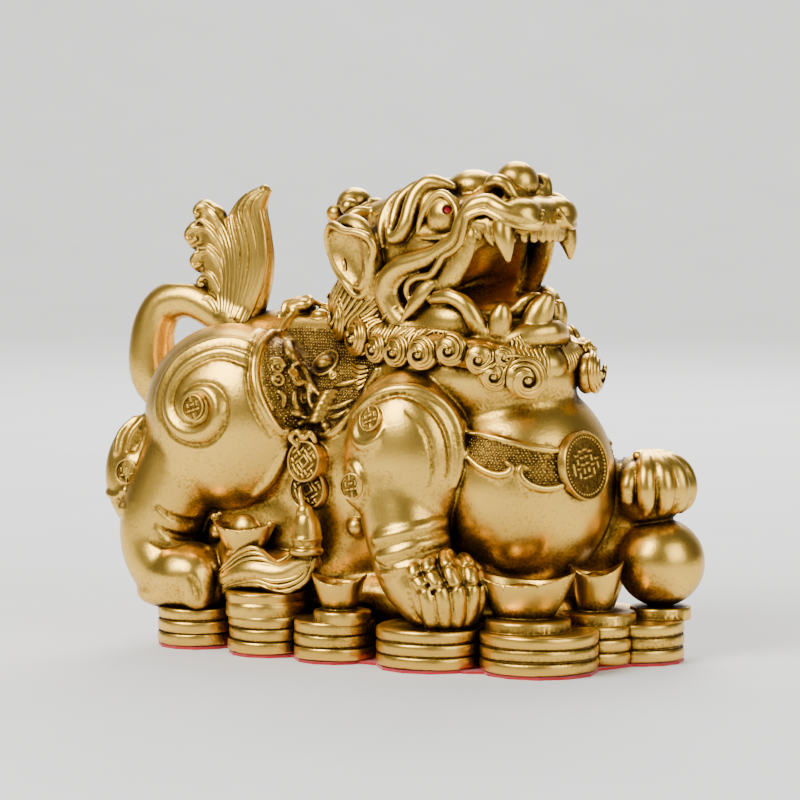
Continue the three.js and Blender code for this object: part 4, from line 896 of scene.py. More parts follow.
# Rolls of the cheeks, lips, brows, eyelids and nostrils
CHEEK = [
    (4.6, 18, 113.4, 1.2), (0.7, 18.6, 110.6, 2.2), (-3.8, 19.4, 107.6, 2.9),
    (-8.9, 20.2, 105.8, 3.3), (-15.2, 20.8, 103.9, 3.7), (-20.2, 20.8, 100.4, 3.9),
    (-21.8, 20.6, 96, 4), (-20.2, 20.2, 91.6, 3.8), (-17, 19.8, 88.2, 3.5), (-12.3, 19, 86, 3.4),
    (-6, 18, 86, 3.2), (0, 16.6, 86.6, 3),
]
CHEEK_LINE = [
    (-8, 21, 102.8, 0.5), (-14, 21.5, 101, 0.8), (-16.6, 21.4, 96.6, 0.9), (-15.4, 21, 92, 0.7),
    (-12.4, 20.6, 89.6, 0.4),
]
UPPER_LIP = [
    (24.6, 3, 117.4, 1.4), (25, 6, 117.4, 1.9), (23.4, 9.8, 118.6, 2.2), (20, 12.8, 120.4, 2.4),
    (16.6, 13.8, 122, 2.6), (13.1, 13.8, 123.2, 2.8), (9.7, 15.8, 122.3, 2.8),
    (7.3, 17, 119.8, 2.6), (5.5, 17.6, 116.8, 2.4), (4.6, 18.2, 113.8, 2.2), (3, 18.8, 111.4, 2.1),
    (0, 19.4, 109.6, 2), (-3.6, 20.4, 107.4, 1.6),
]
UPPER_BEAD = [
    (25, 3.4, 120.6, 0.7), (26.2, 4.4, 118.4, 0.9), (26.2, 7.2, 116.2, 1),
    (23.8, 11.2, 116.4, 1.05), (20.4, 14, 117.8, 1.1), (17, 15.4, 119.5, 1.1), (14, 16, 120.7, 1.1),
    (11.2, 17.4, 120.2, 1.1), (8.6, 18.6, 118.6, 1.1), (7.9, 19, 115.4, 1.1),
    (6.6, 19.4, 111.2, 1.1), (4.1, 20, 108.9, 1.1), (1, 20.5, 107.4, 1.1), (-0.9, 21, 104.6, 1.1),
    (-3.4, 21.4, 101.9, 1.1), (-8.4, 22, 101, 1.1), (-11.4, 22.2, 99.2, 1.1),
    (-12.4, 22, 96.6, 1.05), (-11.2, 22, 94.3, 0.8),
]
MOUTH_CORNER = [
    (7.4, 17, 113, 3.6, 1.6), (4.6, 17.6, 107.4, 4.6, 1.9), (1, 18, 102.4, 5, 2),
    (-2, 18, 97, 4.6, 2),
]
LOWER_LIP = [
    (-4, 20.3, 94.4, 1.2), (-0.9, 20.4, 95.2, 1.7), (4, 20, 95.6, 2.1), (8.5, 18.8, 93.4, 2.4),
    (10.8, 17.2, 89, 2.7), (11.6, 15.3, 85.4, 3), (13.6, 13.4, 82.6, 3.3), (17, 10.8, 82, 3.6),
    (20.4, 7.4, 83.6, 3.9), (23, 3.4, 84.8, 4.1), (24, 0, 85, 4.1),
]
LOWER_BEAD = [
    (-2, 21.2, 96.4, 0.6), (3.6, 20.8, 97, 0.8), (8.6, 19.6, 95, 0.8), (11.8, 18, 91, 0.8),
    (12.8, 16.4, 87.6, 0.7),
]
BROW = [
    (-5.4, 10, 127.4, 1.2), (-8.6, 10.8, 128, 2.2), (-12.3, 12.6, 128.4, 2.7),
    (-14.7, 14.8, 125.8, 2.8), (-15.3, 17, 121.8, 2.7), (-15.3, 18.9, 117.3, 2.5),
    (-17, 20.2, 113.4, 2.3), (-19.6, 20.8, 112.4, 2), (-20.8, 20.8, 114.4, 1.4),
]
SECOND_BROW = [
    (-14, 11.6, 129, 1), (-17.8, 12.6, 127.4, 1.9), (-20.9, 15.2, 124, 2.1), (-21, 17.6, 120.3, 2),
    (-20.6, 19.3, 116.9, 1.7), (-20.6, 20, 114.4, 1),
]
THIRD_BROW = [
    (-20, 10, 127, 1.2), (-24.4, 13.6, 124.4, 1.9), (-26.2, 16.8, 119.8, 2),
    (-25.4, 19.6, 114.4, 1.6), (-24, 20.6, 110, 1),
]
LID = [
    (-12.2, 17.6, 112.6, 0.5), (-11.6, 18, 115, 0.8), (-10.5, 18, 118.4, 1.1),
    (-8.8, 17.4, 121.8, 1.25), (-6.6, 16.2, 124.8, 1.3), (-4, 15.4, 125.6, 1.3),
    (-0.9, 15, 123.8, 1.2), (1.9, 15.7, 121, 1.1), (2.9, 16.6, 117.6, 1), (2.2, 17.4, 115, 0.7),
]
UNDER_LID = [
    (-12.4, 18.2, 112.6, 0.7), (-8, 18.8, 112.8, 0.9), (-5.3, 18.8, 112.8, 1), (-1, 18.4, 113, 0.9),
    (2.6, 17.4, 114.2, 0.7),
]
NOSTRIL = [
    (7.4, 5.8, 123.6, 1.3), (8, 8, 126.4, 1.8), (9.8, 9.3, 128.8, 2), (12.6, 9.4, 129.6, 2),
    (15, 8.4, 128.4, 1.9), (16.4, 7.4, 125.6, 1.8), (18.2, 6.2, 123, 1.3),
]
# Fangs, tusks and the lower jaw's teeth
FANGS = [
    [(13.6, 14.2, 117.6, 2.2), (14.6, 14.6, 114, 2), (15.6, 14.6, 111.4, 0.8)],
    [
        (18, 13, 117.6, 3), (18.8, 13.4, 113.8, 3.1), (19.8, 13.6, 110.2, 2.1),
        (20.4, 13.4, 106.8, 0.8),
    ],
    [(10.6, 15, 116.6, 1.6), (11.2, 15.4, 114.4, 1.4), (11, 15.4, 112.8, 0.8)],
    [(15.2, 11.8, 85.6, 4), (16.2, 12, 89.6, 3.4), (17, 12.2, 92.2, 2)],
]
FRONT_TEETH = [
    [(21, 3, 86.6, 4.4), (22.4, 2, 91, 4), (24, 0.8, 94.8, 2.5)],
    [(20.2, -5.2, 86.6, 3), (21.4, -4.8, 90.4, 2.4), (21.8, -4.8, 92.4, 1.6)],
]
TUSK = [
    (-4.6, 20, 99.6, 2.6, 1.3), (-7.2, 21.4, 96, 2.6, 1.4), (-10.4, 22.2, 92, 1.9, 1.2),
    (-14.2, 22.4, 87.8, 0.5, 0.5),
]
UPPER_GUM = [
    (23.6, 0, 117, 2.1), (22.4, 5, 116.6, 2.2), (19.4, 10, 116.2, 2.2), (15, 13.8, 116.6, 2.1),
    (10, 15.4, 117.4, 2), (7, 16.2, 115.4, 1.8),
]
NOSTRIL_HOLE = [(9.8, 4.6, 124.6, 1.9), (12.4, 8, 126, 2.2)]
FACE_ROLLS = [
    (UPPER_GUM, 0.6), (CHEEK, 1.4), (UPPER_LIP, 0.8), (BROW, 0.7), (SECOND_BROW, 0.6),
    (THIRD_BROW, 0.9), (LID, 0.35), (UNDER_LID, 0.5), (NOSTRIL, 0.5), (LOWER_LIP, 0.7),
    (UPPER_BEAD, 0.3), (LOWER_BEAD, 0.5),
]
# The eyeball, its socket, the temple and the jaw; then the nose, the neck and the snout
EYE_AND_JAW = [
    ((-5.6, 12.6, 118.6), (6.6, 5.6, 7), 0.5), ((-14, 9.4, 120), (8.6, 7.4, 8.6), 1.5),
    ((-24, 14, 111), (9, 6, 12), 2), ((-8, 13, 85), (18, 8.4, 6), 2),
]
NOSE_AND_NECK = [
    ((12, 5, 125), (6.4, 4.6, 4), 1), ((-36, 14, 92), (14, 9.6, 11), 2),
    ((20, 7.6, 120), (6, 6.4, 4.8), 0.8),
]
for side in BOTH:
    for place, radii, blend in EYE_AND_JAW:
        head_egg(place, radii, side, blend=blend)
    head_limb(MOUTH_CORNER, side, up=RIGHT, blend=2.4)
    for place, radii, blend in NOSE_AND_NECK:
        head_egg(place, radii, side, blend=blend)
    for rows, blend in FACE_ROLLS:
        head_limb(rows, side, blend=blend)
    head_limb(NOSTRIL_HOLE, side, blend=0.6, cut=True)
    head_egg((-3, 15, 88), (11, 6.4, 7), side, blend=1.5)
    head_roll(CHEEK_LINE, side, sink=0.1)
    for rows in FANGS:
        head_limb(rows, side, blend=0.3)
    head_limb(TUSK, side, up=RIGHT, blend=0.25)
for rows in FRONT_TEETH:
    head_limb(rows, blend=0.3)
# The chin, the nose's tip, the forehead and the bridge of the nose
MIDDLE_FORMS = [
    ((14, 0, 81), (10, 14.6, 8), 2), ((11.2, 0, 128.6), (6.7, 6.4, 6.6), 0.5),
    ((-6.2, 0, 127.4), (8, 7.2, 5.2), 1.5), ((4, 0, 124.4), (6, 6.6, 4), 2),
]
for place, radii, blend in MIDDLE_FORMS:
    head_egg(place, radii, blend=blend)
# Nine front teeth in the upper jaw
for k in range(-4, 5):
    f, s = 24 - 0.3 * k * k, 2.6 * k
    tooth = [(f, s, 116.4, 1.55, 1.3), (f, s, 114, 1.5, 1.3), (f, s, 113, 1.45, 1.2)]
    head_limb(tooth, up=FORWARD, blend=0.15)

# Ears: cups that open to the side, with a rolled rim and a curled lobe
EAR_RIM = [
    (-43.6, 23.6, 107, 1), (-43.6, 24.6, 112, 1.2), (-41, 25.6, 115.6, 1.3),
    (-37.4, 26.6, 115.4, 1.25), (-33.7, 26.8, 114.2, 1.2), (-29.4, 26, 113.8, 1.2),
    (-25.8, 25, 112.4, 1.2), (-24.3, 24, 109.3, 1.2), (-25.6, 23.4, 105.3, 1.2),
    (-27.3, 22.8, 100.9, 1.3), (-28.4, 22.6, 97.4, 1.3), (-30, 22.8, 95.2, 1.3),
    (-32.8, 23, 94.8, 1.3), (-36.8, 23.6, 98.4, 1.2), (-41, 23.6, 102.6, 1.1),
    (-43.4, 23.6, 107, 1),
]
EAR = [
    (-28, 19.6, 95, 3.6, 3), (-31.5, 21.4, 103, 7.6, 4.4), (-35, 22, 109, 9.6, 4.4),
    (-37.6, 22, 113, 6, 3),
]
EAR_HOLLOW = [
    (-30.6, 25, 97, 1.2, 2), (-32.4, 26.4, 103, 5.2, 3.8), (-35, 26.6, 108.6, 7, 3.6),
    (-36, 26.4, 111, 5, 2.6),
]
EAR_LOBE = [
    (-29, 23.6, 104, 0.6), (-28.6, 24, 100.4, 1.1), (-29.6, 24, 97.6, 1.2), (-31.6, 24.2, 97.8, 1),
]
for side in BOTH:
    head_limb(EAR, side, up=RIGHT, blend=1)
    head_limb(EAR_HOLLOW, side, up=RIGHT, blend=0.8, cut=True)
    head_limb(EAR_RIM, side, blend=0.5)
    head_limb(EAR_LOBE, side, blend=0.5)

# Horn: it sweeps back over the crown to a cloud-shaped knob
HORN = [
    (-10, 0, 124.5, 8, 4.4), (-18.5, 0, 124.4, 8.4, 5.4), (-28, 0, 121.4, 8.2, 5.6),
    (-39.7, 0, 118.6, 7, 5.4), (-50, 0, 116.8, 5.4, 4.6),
]
HORN_BAND = [(-52, 5, 117, 0.9), (-50.4, 2.6, 122.4, 1.1), (-49.6, 0, 124, 1.1)]
HORN_SCROLL = [
    (-44, 5.4, 119.4, 1.2), (-48, 8, 119, 1.9), (-51.6, 9.6, 115.6, 1.8), (-50.4, 9.4, 112, 1.2),
]
HORN_LINE = [
    (-14, 6.6, 127.6, 0.6), (-22, 7.6, 125.4, 0.9), (-32, 7.6, 121.6, 0.9), (-41, 6.4, 118.6, 0.7),
]
head_limb(HORN, blend=2, kept=5)
head_egg((-57, 0, 121.4), (5.4, 5.8, 5.2), blend=0.8)
for side in BOTH:
    head_egg((-53.4, 5.8, 120.6), (3, 2.8, 2.8), side, blend=0.5)
    head_egg((-60, 5.2, 118.6), (3.2, 2.8, 2.8), side, blend=0.5)
    head_roll(HORN_BAND, side, sink=0.1)
    head_limb(HORN_SCROLL, side, blend=0.6)
    head_roll(HORN_LINE, side, sink=0.1)
head_egg((-62.6, 0, 117.4), (4.4, 5, 3.6), blend=0.6)

# Goatee, and the roll of hair that carries the curls
COLLAR = [
    (-50, 0, 88, 6, 6), (-47, 10, 88, 6, 6), (-38, 17, 86.5, 5.6, 5.6), (-20, 20.4, 82, 4.8, 4.8),
    (0, 21.4, 80.4, 4.5, 4.6), (14, 18.8, 79, 4.5, 4.6), (21, 12, 76.5, 4.6, 4.6),
    (24, 0, 75.5, 5, 4.6),
]
GOATEE = [
    (19, 1.4, 82.6, 4.6, 4), (22, 2.8, 79, 4, 4), (23.4, 3.4, 75.4, 2.5, 2.6),
    (24.2, 3.8, 70.8, 0.9, 1),
]
for side in BOTH:
    head_limb(COLLAR, side, up=(0.3, -0.9 * side, 0.3), blend=2, kept=5)
head_limb(GOATEE, up=FORWARD)

# Curls of the mane: eye, size, where the hair comes in and how far it winds round, in degrees
CURLS = [
    ((-46, 17.6, 92.8), 4.2, 20, 330), ((-42.6, 20.4, 86.6), 6.2, -20, 330),
    ((-31, 24.4, 82), 5.8, 30, 330), ((-21.4, 26, 79.4), 4.6, 25, 320),
    ((-12.2, 26.6, 79), 5.2, 25, 310), ((-1.4, 27.2, 79), 5.4, 30, 320),
    ((9.4, 26.2, 80.6), 5.2, 20, 310), ((18, 23, 78.2), 4.8, -40, 260),
    ((21.6, 20.6, 73.4), 4.8, -10, 300), ((23.6, 18.4, 78.8), 3.6, 30, 330),
    ((28.6, 14.6, 72.6), 6.6, 40, 350), ((-41, 19, 101.5), 5, 40, 320),
    ((-47, 13, 106), 4.6, 40, 320), ((-52, 8.6, 96), 5.6, 40, 330),
    ((-52.6, 0.2, 104), 4.8, 40, 330), ((-56, 2.4, 86.4), 6, 40, 330),
    ((-51, 12.6, 82.4), 5.4, 40, 320),
]
LEAD_IN = -0.3
STRANDS_IN_A_CURL = 3
mane = []
for place, size, start, sweep in CURLS:
    for side in BOTH:
        f, s, _ = place
        out = unit((0.03 * (f + 14), s / 18, -0.1))
        across = unit((out[1], -out[0], 0))
        ways = [head_way(*way, side) for way in (across, np.cross(across, out), out)]
        centre = np.array(head_place([place], side)[0])
        radii = (size * 0.92, size * 0.92, size * 0.55)
        head.egg(centre - ways[2] * size * 0.25, radii, axes=ways, blend=0.5, kept=4)
        mane.append((centre, size, start, sweep, ways))
strands = []
for centre, size, start, sweep, (across, over, out) in mane:
    t = np.linspace(LEAD_IN, 1, 24)
    wound = np.clip(t, 0, 1)[:, None]
    angle = np.radians(start - sweep * t)[:, None]
    half = size * 0.155 * (1 - 0.4 * wound) * (1 + 1.5 * np.minimum(t, 0))[:, None]
    for k in range(STRANDS_IN_A_CURL):
        bundle = size * (0.94 - 0.25 * k)
        reach = np.where(t > 0, bundle * (1 - t) + size * 0.2 * t, bundle * (1 - 1.7 * t))[:, None]
        spots = centre + reach * (across * np.cos(angle) + over * np.sin(angle))
        path = head.laid(np.hstack([spots, half]), sink=-0.2, steps=1)
        path[:, :3] += out * wound * size * 0.26
        strands.append(path)
    head.egg(centre + out * size * 0.3, (size * 0.24,) * 3, blend=0.2)

# Loose strands: down the nape, behind the cheeks, under the jaw and in the beard
for s in np.linspace(-16, 16, 21):
    wave = 1.6 * math.sin(s)
    nape = [
        (-30, s * 0.8, 120, 0.5), (-40, s * 0.95, 114 + wave, 0.9), (-49, s, 106, 1),
        (-54, s * 1.05 + wave, 98, 1), (-56, s * 1.1, 90, 0.9), (-55, s * 1.1, 82, 0.6),
    ]
    strands.append(head.laid(head_place(nape), sink=0.1))
for side in BOTH:
    loose = []
    for k in range(13):
        f, z = -48 + 1.9 * k, -0.25 * k
        loose.append([
            (f + 8, 19.6, 99.6 - 0.6 * k, 0.5), (f + 4.4, 21.4, 94.6 - 0.45 * k, 0.85),
            (f, 22.6, 88.6 + z, 0.85), (f - 2.4, 23.4, 84 + z, 0.5),
        ])
    for k in range(22):
        f, s = -27 + 1.45 * k, -0.005 * k * k
        loose.append([
            (f + 4, 18 + s, 84.4, 0.5), (f + 3.4, 20.6 + s, 82.8, 0.85),
            (f + 0.6, 23.4 + s, 80.4, 0.85), (f - 2.4, 24.8 + s, 77, 0.6),
        ])
    for k in range(9):
        f, s = 5 + 0.9 * k, -0.5 * k
        loose.append([
            (f + 3, 17.2 + s, 78, 0.5), (f + 3, 19.6 + s, 76.4, 0.85), (f + 1.5, 21 + s, 74, 0.85),
            (f - 0.5, 21.4 + s, 71, 0.5),
        ])
        loose.append([
            (20 + 0.2 * k, 3 + 1.4 * k, 84, 0.5), (24.4, 3.4 + 1.5 * k, 80, 0.85),
            (26.6 - 0.3 * k, 4 + 1.5 * k, 74.6, 0.95), (26.4 - 0.5 * k, 4.4 + 1.6 * k, 69, 0.6),
        ])
    strands += [head.laid(head_place(rows, side), sink=0.1) for rows in loose]
    for k in range(5):
        lock = [
            (-12 + 0.9 * k, -19.5, 75.5 - 2.3 * k, 0.5), (-8 + 0.4 * k, -20.5, 74 - 1.9 * k, 0.9),
            (-4, -21.5, 74.4 - 1.4 * k, 0.5),
        ]
        strands.append(body.laid(flip(lock, side), sink=-0.3))

# The mane's strands, the tassel's threads and the cloth's scrolls, cast with the body in brass.
# Each is a closed round rod that lies half sunk in the skin under it.


def drawn(name, paths, sides=8):
    """Round tapering strands along paths of places and half widths, as one mesh piece"""
    points, faces = [], []
    turns = np.linspace(0, 2 * math.pi, sides, endpoint=False)[:, None]
    for path in paths:
        ahead = np.gradient(path[:, :3], axis=0)
        across = np.cross(ahead[0], UP) + 0.01 * np.array(LEFT)
        first = len(points)
        for spot, way in zip(path, ahead):
            way = unit(way)
            across = unit(across - way * (across @ way))
            circle = np.cos(turns) * across + np.sin(turns) * np.cross(way, across)
            points += list((spot[:3] + (0, 0, COIN_TOP) + spot[3] * circle) * MM)
        for ring in range(first, len(points) - sides, sides):
            faces += [
                (ring + k, ring + (k + 1) % sides, ring + sides + (k + 1) % sides, ring + sides + k)
                for k in range(sides)
            ]
        faces += [
            tuple(range(first + sides - 1, first - 1, -1)),
            tuple(range(len(points) - sides, len(points))),
        ]
    data = bpy.data.meshes.new(name)
    data.from_pydata(points, [], faces)
    data.shade_smooth()
    return added(name, data)


hair = drawn("mane_strands", strands)
tassel = drawn("tassel_threads", threads)
relief = drawn("saddle_relief", wires)

# The drilled seats of the eye stones, each in a small raised ring
EYE_AXIS = (0.555, 0.69, 0.465)
EYE_SEAT = (-2.1, 15.5, 120.5)
for side in BOTH:
    seat = head_place([EYE_SEAT], side)[0]
    axis = head_way(*EYE_AXIS, side)
    head.disc(seat, axis, 2, -1.5, 1, edge=0.5)
    head.disc(seat, axis, 1.35, -0.15, 6, edge=0.1, blend=0.15, cut=True)
head_skin = poured(head, "head_and_mane", SKIN_TRIANGLES)

# The tail's tuft: flat flutes that fan out from the tail's end, with snail curls at the back.
# It is cast with the body, and each flute is chased as a round strand of its own.

tuft = Clay((-87, -15, 70), (-44, 7, 132), 0.26)
TUFT_Y = -4
FLUTES = [
    [
        (-58, 84), (-54.6, 90), (-51.2, 98), (-49.4, 106), (-50.2, 113), (-52, 118.6),
        (-51.6, 122.6), (-48.6, 125),
    ],
    [
        (-58.6, 85), (-56, 91), (-53.1, 98), (-51.5, 106), (-52.6, 113.4), (-54.6, 118.4),
        (-54, 122.2), (-49.8, 125.6),
    ],
    [
        (-59.6, 86), (-57.6, 91.6), (-55.6, 98), (-54.4, 106), (-56, 113.4), (-58, 118.8),
        (-56.8, 123.2), (-51.4, 126.4),
    ],
    [
        (-60.6, 86), (-59.4, 92), (-58.1, 99), (-57.6, 107), (-59.4, 113.6), (-61.6, 119.4),
        (-59.8, 124), (-54.6, 127.4),
    ],
    [
        (-61.6, 86), (-61, 92), (-60.4, 100), (-61.2, 107.6), (-63.6, 113.6), (-65.6, 118.6),
        (-64.4, 122.8), (-59.6, 126.8),
    ],
    [
        (-62.6, 86.4), (-62.5, 92), (-62.4, 100), (-63.8, 107.2), (-66.8, 113.6), (-69.8, 118.4),
        (-72.9, 121.6), (-76.6, 120.9), (-77.2, 118.4), (-75, 117.6),
    ],
    [
        (-63.4, 86.8), (-63.9, 93), (-64, 99.8), (-65.8, 106.4), (-69.8, 112.4), (-74.8, 114.9),
        (-79.6, 114.2), (-81.4, 111), (-78.9, 109), (-75.9, 110.2),
    ],
    [
        (-64.2, 87.2), (-65.2, 93.4), (-65.8, 99.2), (-68, 104.2), (-71.9, 107.4), (-76.6, 106.6),
        (-79, 103.6), (-77.3, 101), (-74.7, 102.2),
    ],
    [
        (-65.2, 87.6), (-66.6, 92.4), (-68.6, 95.8), (-70.9, 98.6), (-74.2, 99.2), (-76.6, 97.4),
        (-75.4, 95.2), (-73.4, 96),
    ],
    [(-66.4, 87.8), (-68.6, 90.6), (-71, 92.2), (-73.6, 91.6), (-74, 89.6)],
]
CURLED = 5
FLUTE_CORE = [
    (-62, 84, 5, 5.6), (-60.5, 92, 8, 5), (-59.8, 102, 9.4, 4.4), (-59.4, 112, 8, 3.6),
    (-57.6, 120, 5, 2.8), (-53, 125.4, 2, 1.6),
]
CURL_CORE = [(-66, 92, 5, 4.4), (-70, 100, 6, 4), (-71, 109, 7, 3.6), (-72, 116, 5, 3)]
for core in (FLUTE_CORE, CURL_CORE):
    tuft.limb([(x, TUFT_Y, *rest) for x, *rest in core], up=LEFT, blend=2)
tuft.limb([(-72, TUFT_Y, 89.4, 5.6), (-66, TUFT_Y, 87, 6.2), (-61, TUFT_Y, 84.4, 7)], blend=1.5)
TUFT_CURLS = [(-75.2, 118.6, 4), (-77.6, 111.4, 4.8), (-76.4, 103.4, 3.8), (-74.6, 96.8, 2.6)]
for x, z, size in TUFT_CURLS:
    tuft.egg((x, TUFT_Y, z), (size, 3.6, size), blend=0.8)
flutes = []
for side in BOTH:
    for number, rows in enumerate(FLUTES):
        rows = np.array(rows)
        share = np.linspace(0, 1, len(rows))
        ahead = np.gradient(rows, axis=0)
        aside = np.column_stack([ahead[:, 1], -ahead[:, 0]])
        aside /= np.linalg.norm(ahead, axis=1)[:, None]
        for step in (-0.65, 0.65):
            spread = rows + aside * step * (np.sin(math.pi * (0.14 + 0.8 * share)) ** 0.6)[:, None]
            half = 0.78 * np.sin(math.pi * (0.2 + 0.7 * share)) ** 0.5
            y = np.full(len(rows), TUFT_Y - 5 * side)
            path = tuft.laid(np.column_stack([spread[:, 0], y, spread[:, 1], half]), sink=0.1)
            if number >= CURLED:
                path[:, 1] -= side * np.clip(np.linspace(0, 1, len(path)) - 0.6, 0, 1) * 1.6
            flutes.append(path)
for path in flutes:
    tuft.limb(path, blend=0.25, steps=1, kept=2)
tuft_skin = poured(tuft, "tail_tuft", 90000)
tuft_strands = drawn("tuft_strands", flutes)

# Coins of the bed: stacks of three, cast in one with the beast, with worn, rounded edges.
# Copies of one coin are set out on points, turned and sized by the points' own values.


def setting_out():
    """A geometry tree that sets copies of a piece out on points"""
    tree = bpy.data.node_groups.new("set out", "GeometryNodeTree")
    for name, kind in [
        ("Points", "Geometry"), ("Piece", "Object"), ("Material", "Material"),
        ("Unevenness", "Float"), ("Seed", "Int"),
    ]:
        tree.interface.new_socket(name, in_out="INPUT", socket_type="NodeSocket" + kind)
    tree.interface.new_socket("Pieces", in_out="OUTPUT", socket_type="NodeSocketGeometry")
    add, link = tree.nodes.new, tree.links.new
    given, result = add("NodeGroupInput"), add("NodeGroupOutput")
    points, pattern = add("GeometryNodeMeshToPoints"), add("GeometryNodeObjectInfo")
    instance, realize = add("GeometryNodeInstanceOnPoints"), add("GeometryNodeRealizeInstances")
    coat = add("GeometryNodeSetMaterial")
    values = {}
    for name, kind in [("facing", "FLOAT_VECTOR"), ("size", "FLOAT_VECTOR"), ("turn", "FLOAT")]:
        values[name] = add("GeometryNodeInputNamedAttribute")
        values[name].data_type = kind
        values[name].inputs["Name"].default_value = name
    align, about = add("FunctionNodeAlignRotationToVector"), add("FunctionNodeAxisAngleToRotation")
    spin = add("FunctionNodeRotateRotation")
    align.axis = "Z"
    about.inputs["Axis"].default_value = UP
    spin.rotation_space = "LOCAL"
    least, dice = add("ShaderNodeMath"), add("FunctionNodeRandomValue")
    scale = add("ShaderNodeVectorMath")
    least.operation = "SUBTRACT"
    least.inputs[0].default_value = 1
    scale.operation = "SCALE"
    link(given.outputs["Points"], points.inputs["Mesh"])
    link(given.outputs["Piece"], pattern.inputs["Object"])
    link(values["facing"].outputs["Attribute"], align.inputs["Vector"])
    link(values["turn"].outputs["Attribute"], about.inputs["Angle"])
    link(align.outputs["Rotation"], spin.inputs["Rotation"])
    link(about.outputs["Rotation"], spin.inputs["Rotate By"])
    link(given.outputs["Unevenness"], least.inputs[1])
    link(least.outputs[0], dice.inputs[2])
    link(given.outputs["Seed"], dice.inputs["Seed"])
    link(values["size"].outputs["Attribute"], scale.inputs[0])
    link(dice.outputs[1], scale.inputs["Scale"])
    link(points.outputs["Points"], instance.inputs["Points"])
    link(pattern.outputs["Geometry"], instance.inputs["Instance"])
    link(spin.outputs["Rotation"], instance.inputs["Rotation"])
    link(scale.outputs["Vector"], instance.inputs["Scale"])
    link(instance.outputs["Instances"], realize.inputs["Geometry"])
    link(realize.outputs["Geometry"], coat.inputs["Geometry"])
    link(given.outputs["Material"], coat.inputs["Material"])
    link(coat.outputs["Geometry"], result.inputs["Pieces"])
    return tree


set_out_tree = setting_out()
# The brass, with its patina, polish and painted shade, is filled in further down
brass = bpy.data.materials.new("patinated_brass")


def set_out(name, data, places, facings, sizes, turns, unevenness=0.0):
    """Copies of one mesh in millimetres, at places of the figure, as one piece"""
    pattern = added(name + "_pattern", data)
    points = bpy.data.meshes.new(name)
    points.from_pydata(
        [tuple((np.array(place) + (0, 0, COIN_TOP)) * MM) for place in places], [], []
    )
    for label, kind, slot, values in [
        ("facing", "FLOAT_VECTOR", "vector", facings),
        ("size", "FLOAT_VECTOR", "vector", np.array(sizes) * MM),
        ("turn", "FLOAT", "value", turns),
    ]:
        points.attributes.new(label, kind, "POINT").data.foreach_set(
            slot, np.asarray(values, np.float32).ravel()
        )
    piece = added(name, points)
    setter = piece.modifiers.new("set out", "NODES")
    setter.node_group = set_out_tree
    named = {
        item.name: item.identifier
        for item in set_out_tree.interface.items_tree
        if item.in_out == "INPUT"
    }
    for label, value in [
        ("Piece", pattern), ("Material", brass), ("Unevenness", unevenness), ("Seed", 3),
    ]:
        setter[named[label]] = value
    made = applied(piece)
    for label in ("facing", "size", "turn"):
        if label in made.attributes:
            made.attributes.remove(made.attributes[label])
    bpy.data.objects.remove(pattern)
    return piece


COIN_SIDES = 72
COIN_EDGE = [
    (0.9, 0.05), (0.955, 0.08), (0.985, 0.3), (0.998, 0.8), (1.004, 1.9), (1, 2.9), (0.988, 3.4),
    (0.965, 3.62), (0.93, 3.66), (0.88, 3.4),
]
dice = np.random.default_rng(11)
angles = np.linspace(0, 2 * math.pi, COIN_SIDES, endpoint=False)
swell = 1 + 0.004 * np.sin(2 * angles + 1) + 0.003 * np.sin(5 * angles)
coin_points = [
    (r * s * math.cos(a), r * s * math.sin(a), h + 0.1 * math.sin(3 * a + 1))
    for r, h in COIN_EDGE
    for a, s in zip(angles, swell)
]
coin_points += [(0, 0, 0.06), (0, 0, 3.4)]
coin_faces = []
for k in range(COIN_SIDES):
    n = (k + 1) % COIN_SIDES
    for i in range(len(COIN_EDGE) - 1):
        coin_faces.append((
            i * COIN_SIDES + k,
            i * COIN_SIDES + n,
            (i + 1) * COIN_SIDES + n,
            (i + 1) * COIN_SIDES + k,
        ))
    coin_faces.append((len(coin_points) - 2, n, k))
    coin_faces.append((
        len(coin_points) - 1,
        (len(COIN_EDGE) - 1) * COIN_SIDES + k,
        (len(COIN_EDGE) - 1) * COIN_SIDES + n,
    ))
coin_data = bpy.data.meshes.new("coin")
coin_data.from_pydata(coin_points, [], coin_faces)
coin_data.shade_smooth()
layers = [(stack, k) for stack in STACKS for k in range(COINS_IN_A_STACK)]
shifts = dice.uniform(-0.25, 0.25, (len(layers), 2))
coin_bed = set_out(
    "coin_bed",
    coin_data,
    [
        (x + dx, y + dy, (k - COINS_IN_A_STACK) * COIN_THICKNESS)
        for ((x, y, _), k), (dx, dy) in zip(layers, shifts)
    ],
    [UP] * len(layers),
    [(radius - 0.3, radius - 0.3, 1) for (_, _, radius), _ in layers],
    dice.uniform(0, 6, len(layers)),
)

# Medals on the haunches, hocks, shoulders and pendant, and the big one on the breast band.
# Each is a thin plate with a raised rim and rows of shallow strokes that stand for an inscription.

MEDAL_RIM_TOP = 1.1
MEDAL_GROUND = 0.4
STROKE_HEIGHT = 0.55


def strokes(reach, rows, pitch, half, seed, bare=0.0):
    """Short level and upright strokes in rows that fill a disc, but for a bare middle"""
    dice = np.random.default_rng(seed)
    made = []
    for y in np.linspace(-reach, reach, rows):
        width = math.sqrt(max(reach * reach * 1.15 - y * y, 0))
        for x in np.arange(-width + pitch / 2, width - pitch / 3, pitch):
            long = pitch * dice.uniform(0.22, 0.36)
            level = dice.random() < 0.5
            if max(abs(x), abs(y)) > bare:
                dx, dy = (long, 0) if level else (0, long)
                ends = ((x - dx, y - dy), (x + dx, y + dy))
                made.append([(*end, STROKE_HEIGHT, half) for end in ends])
    return made


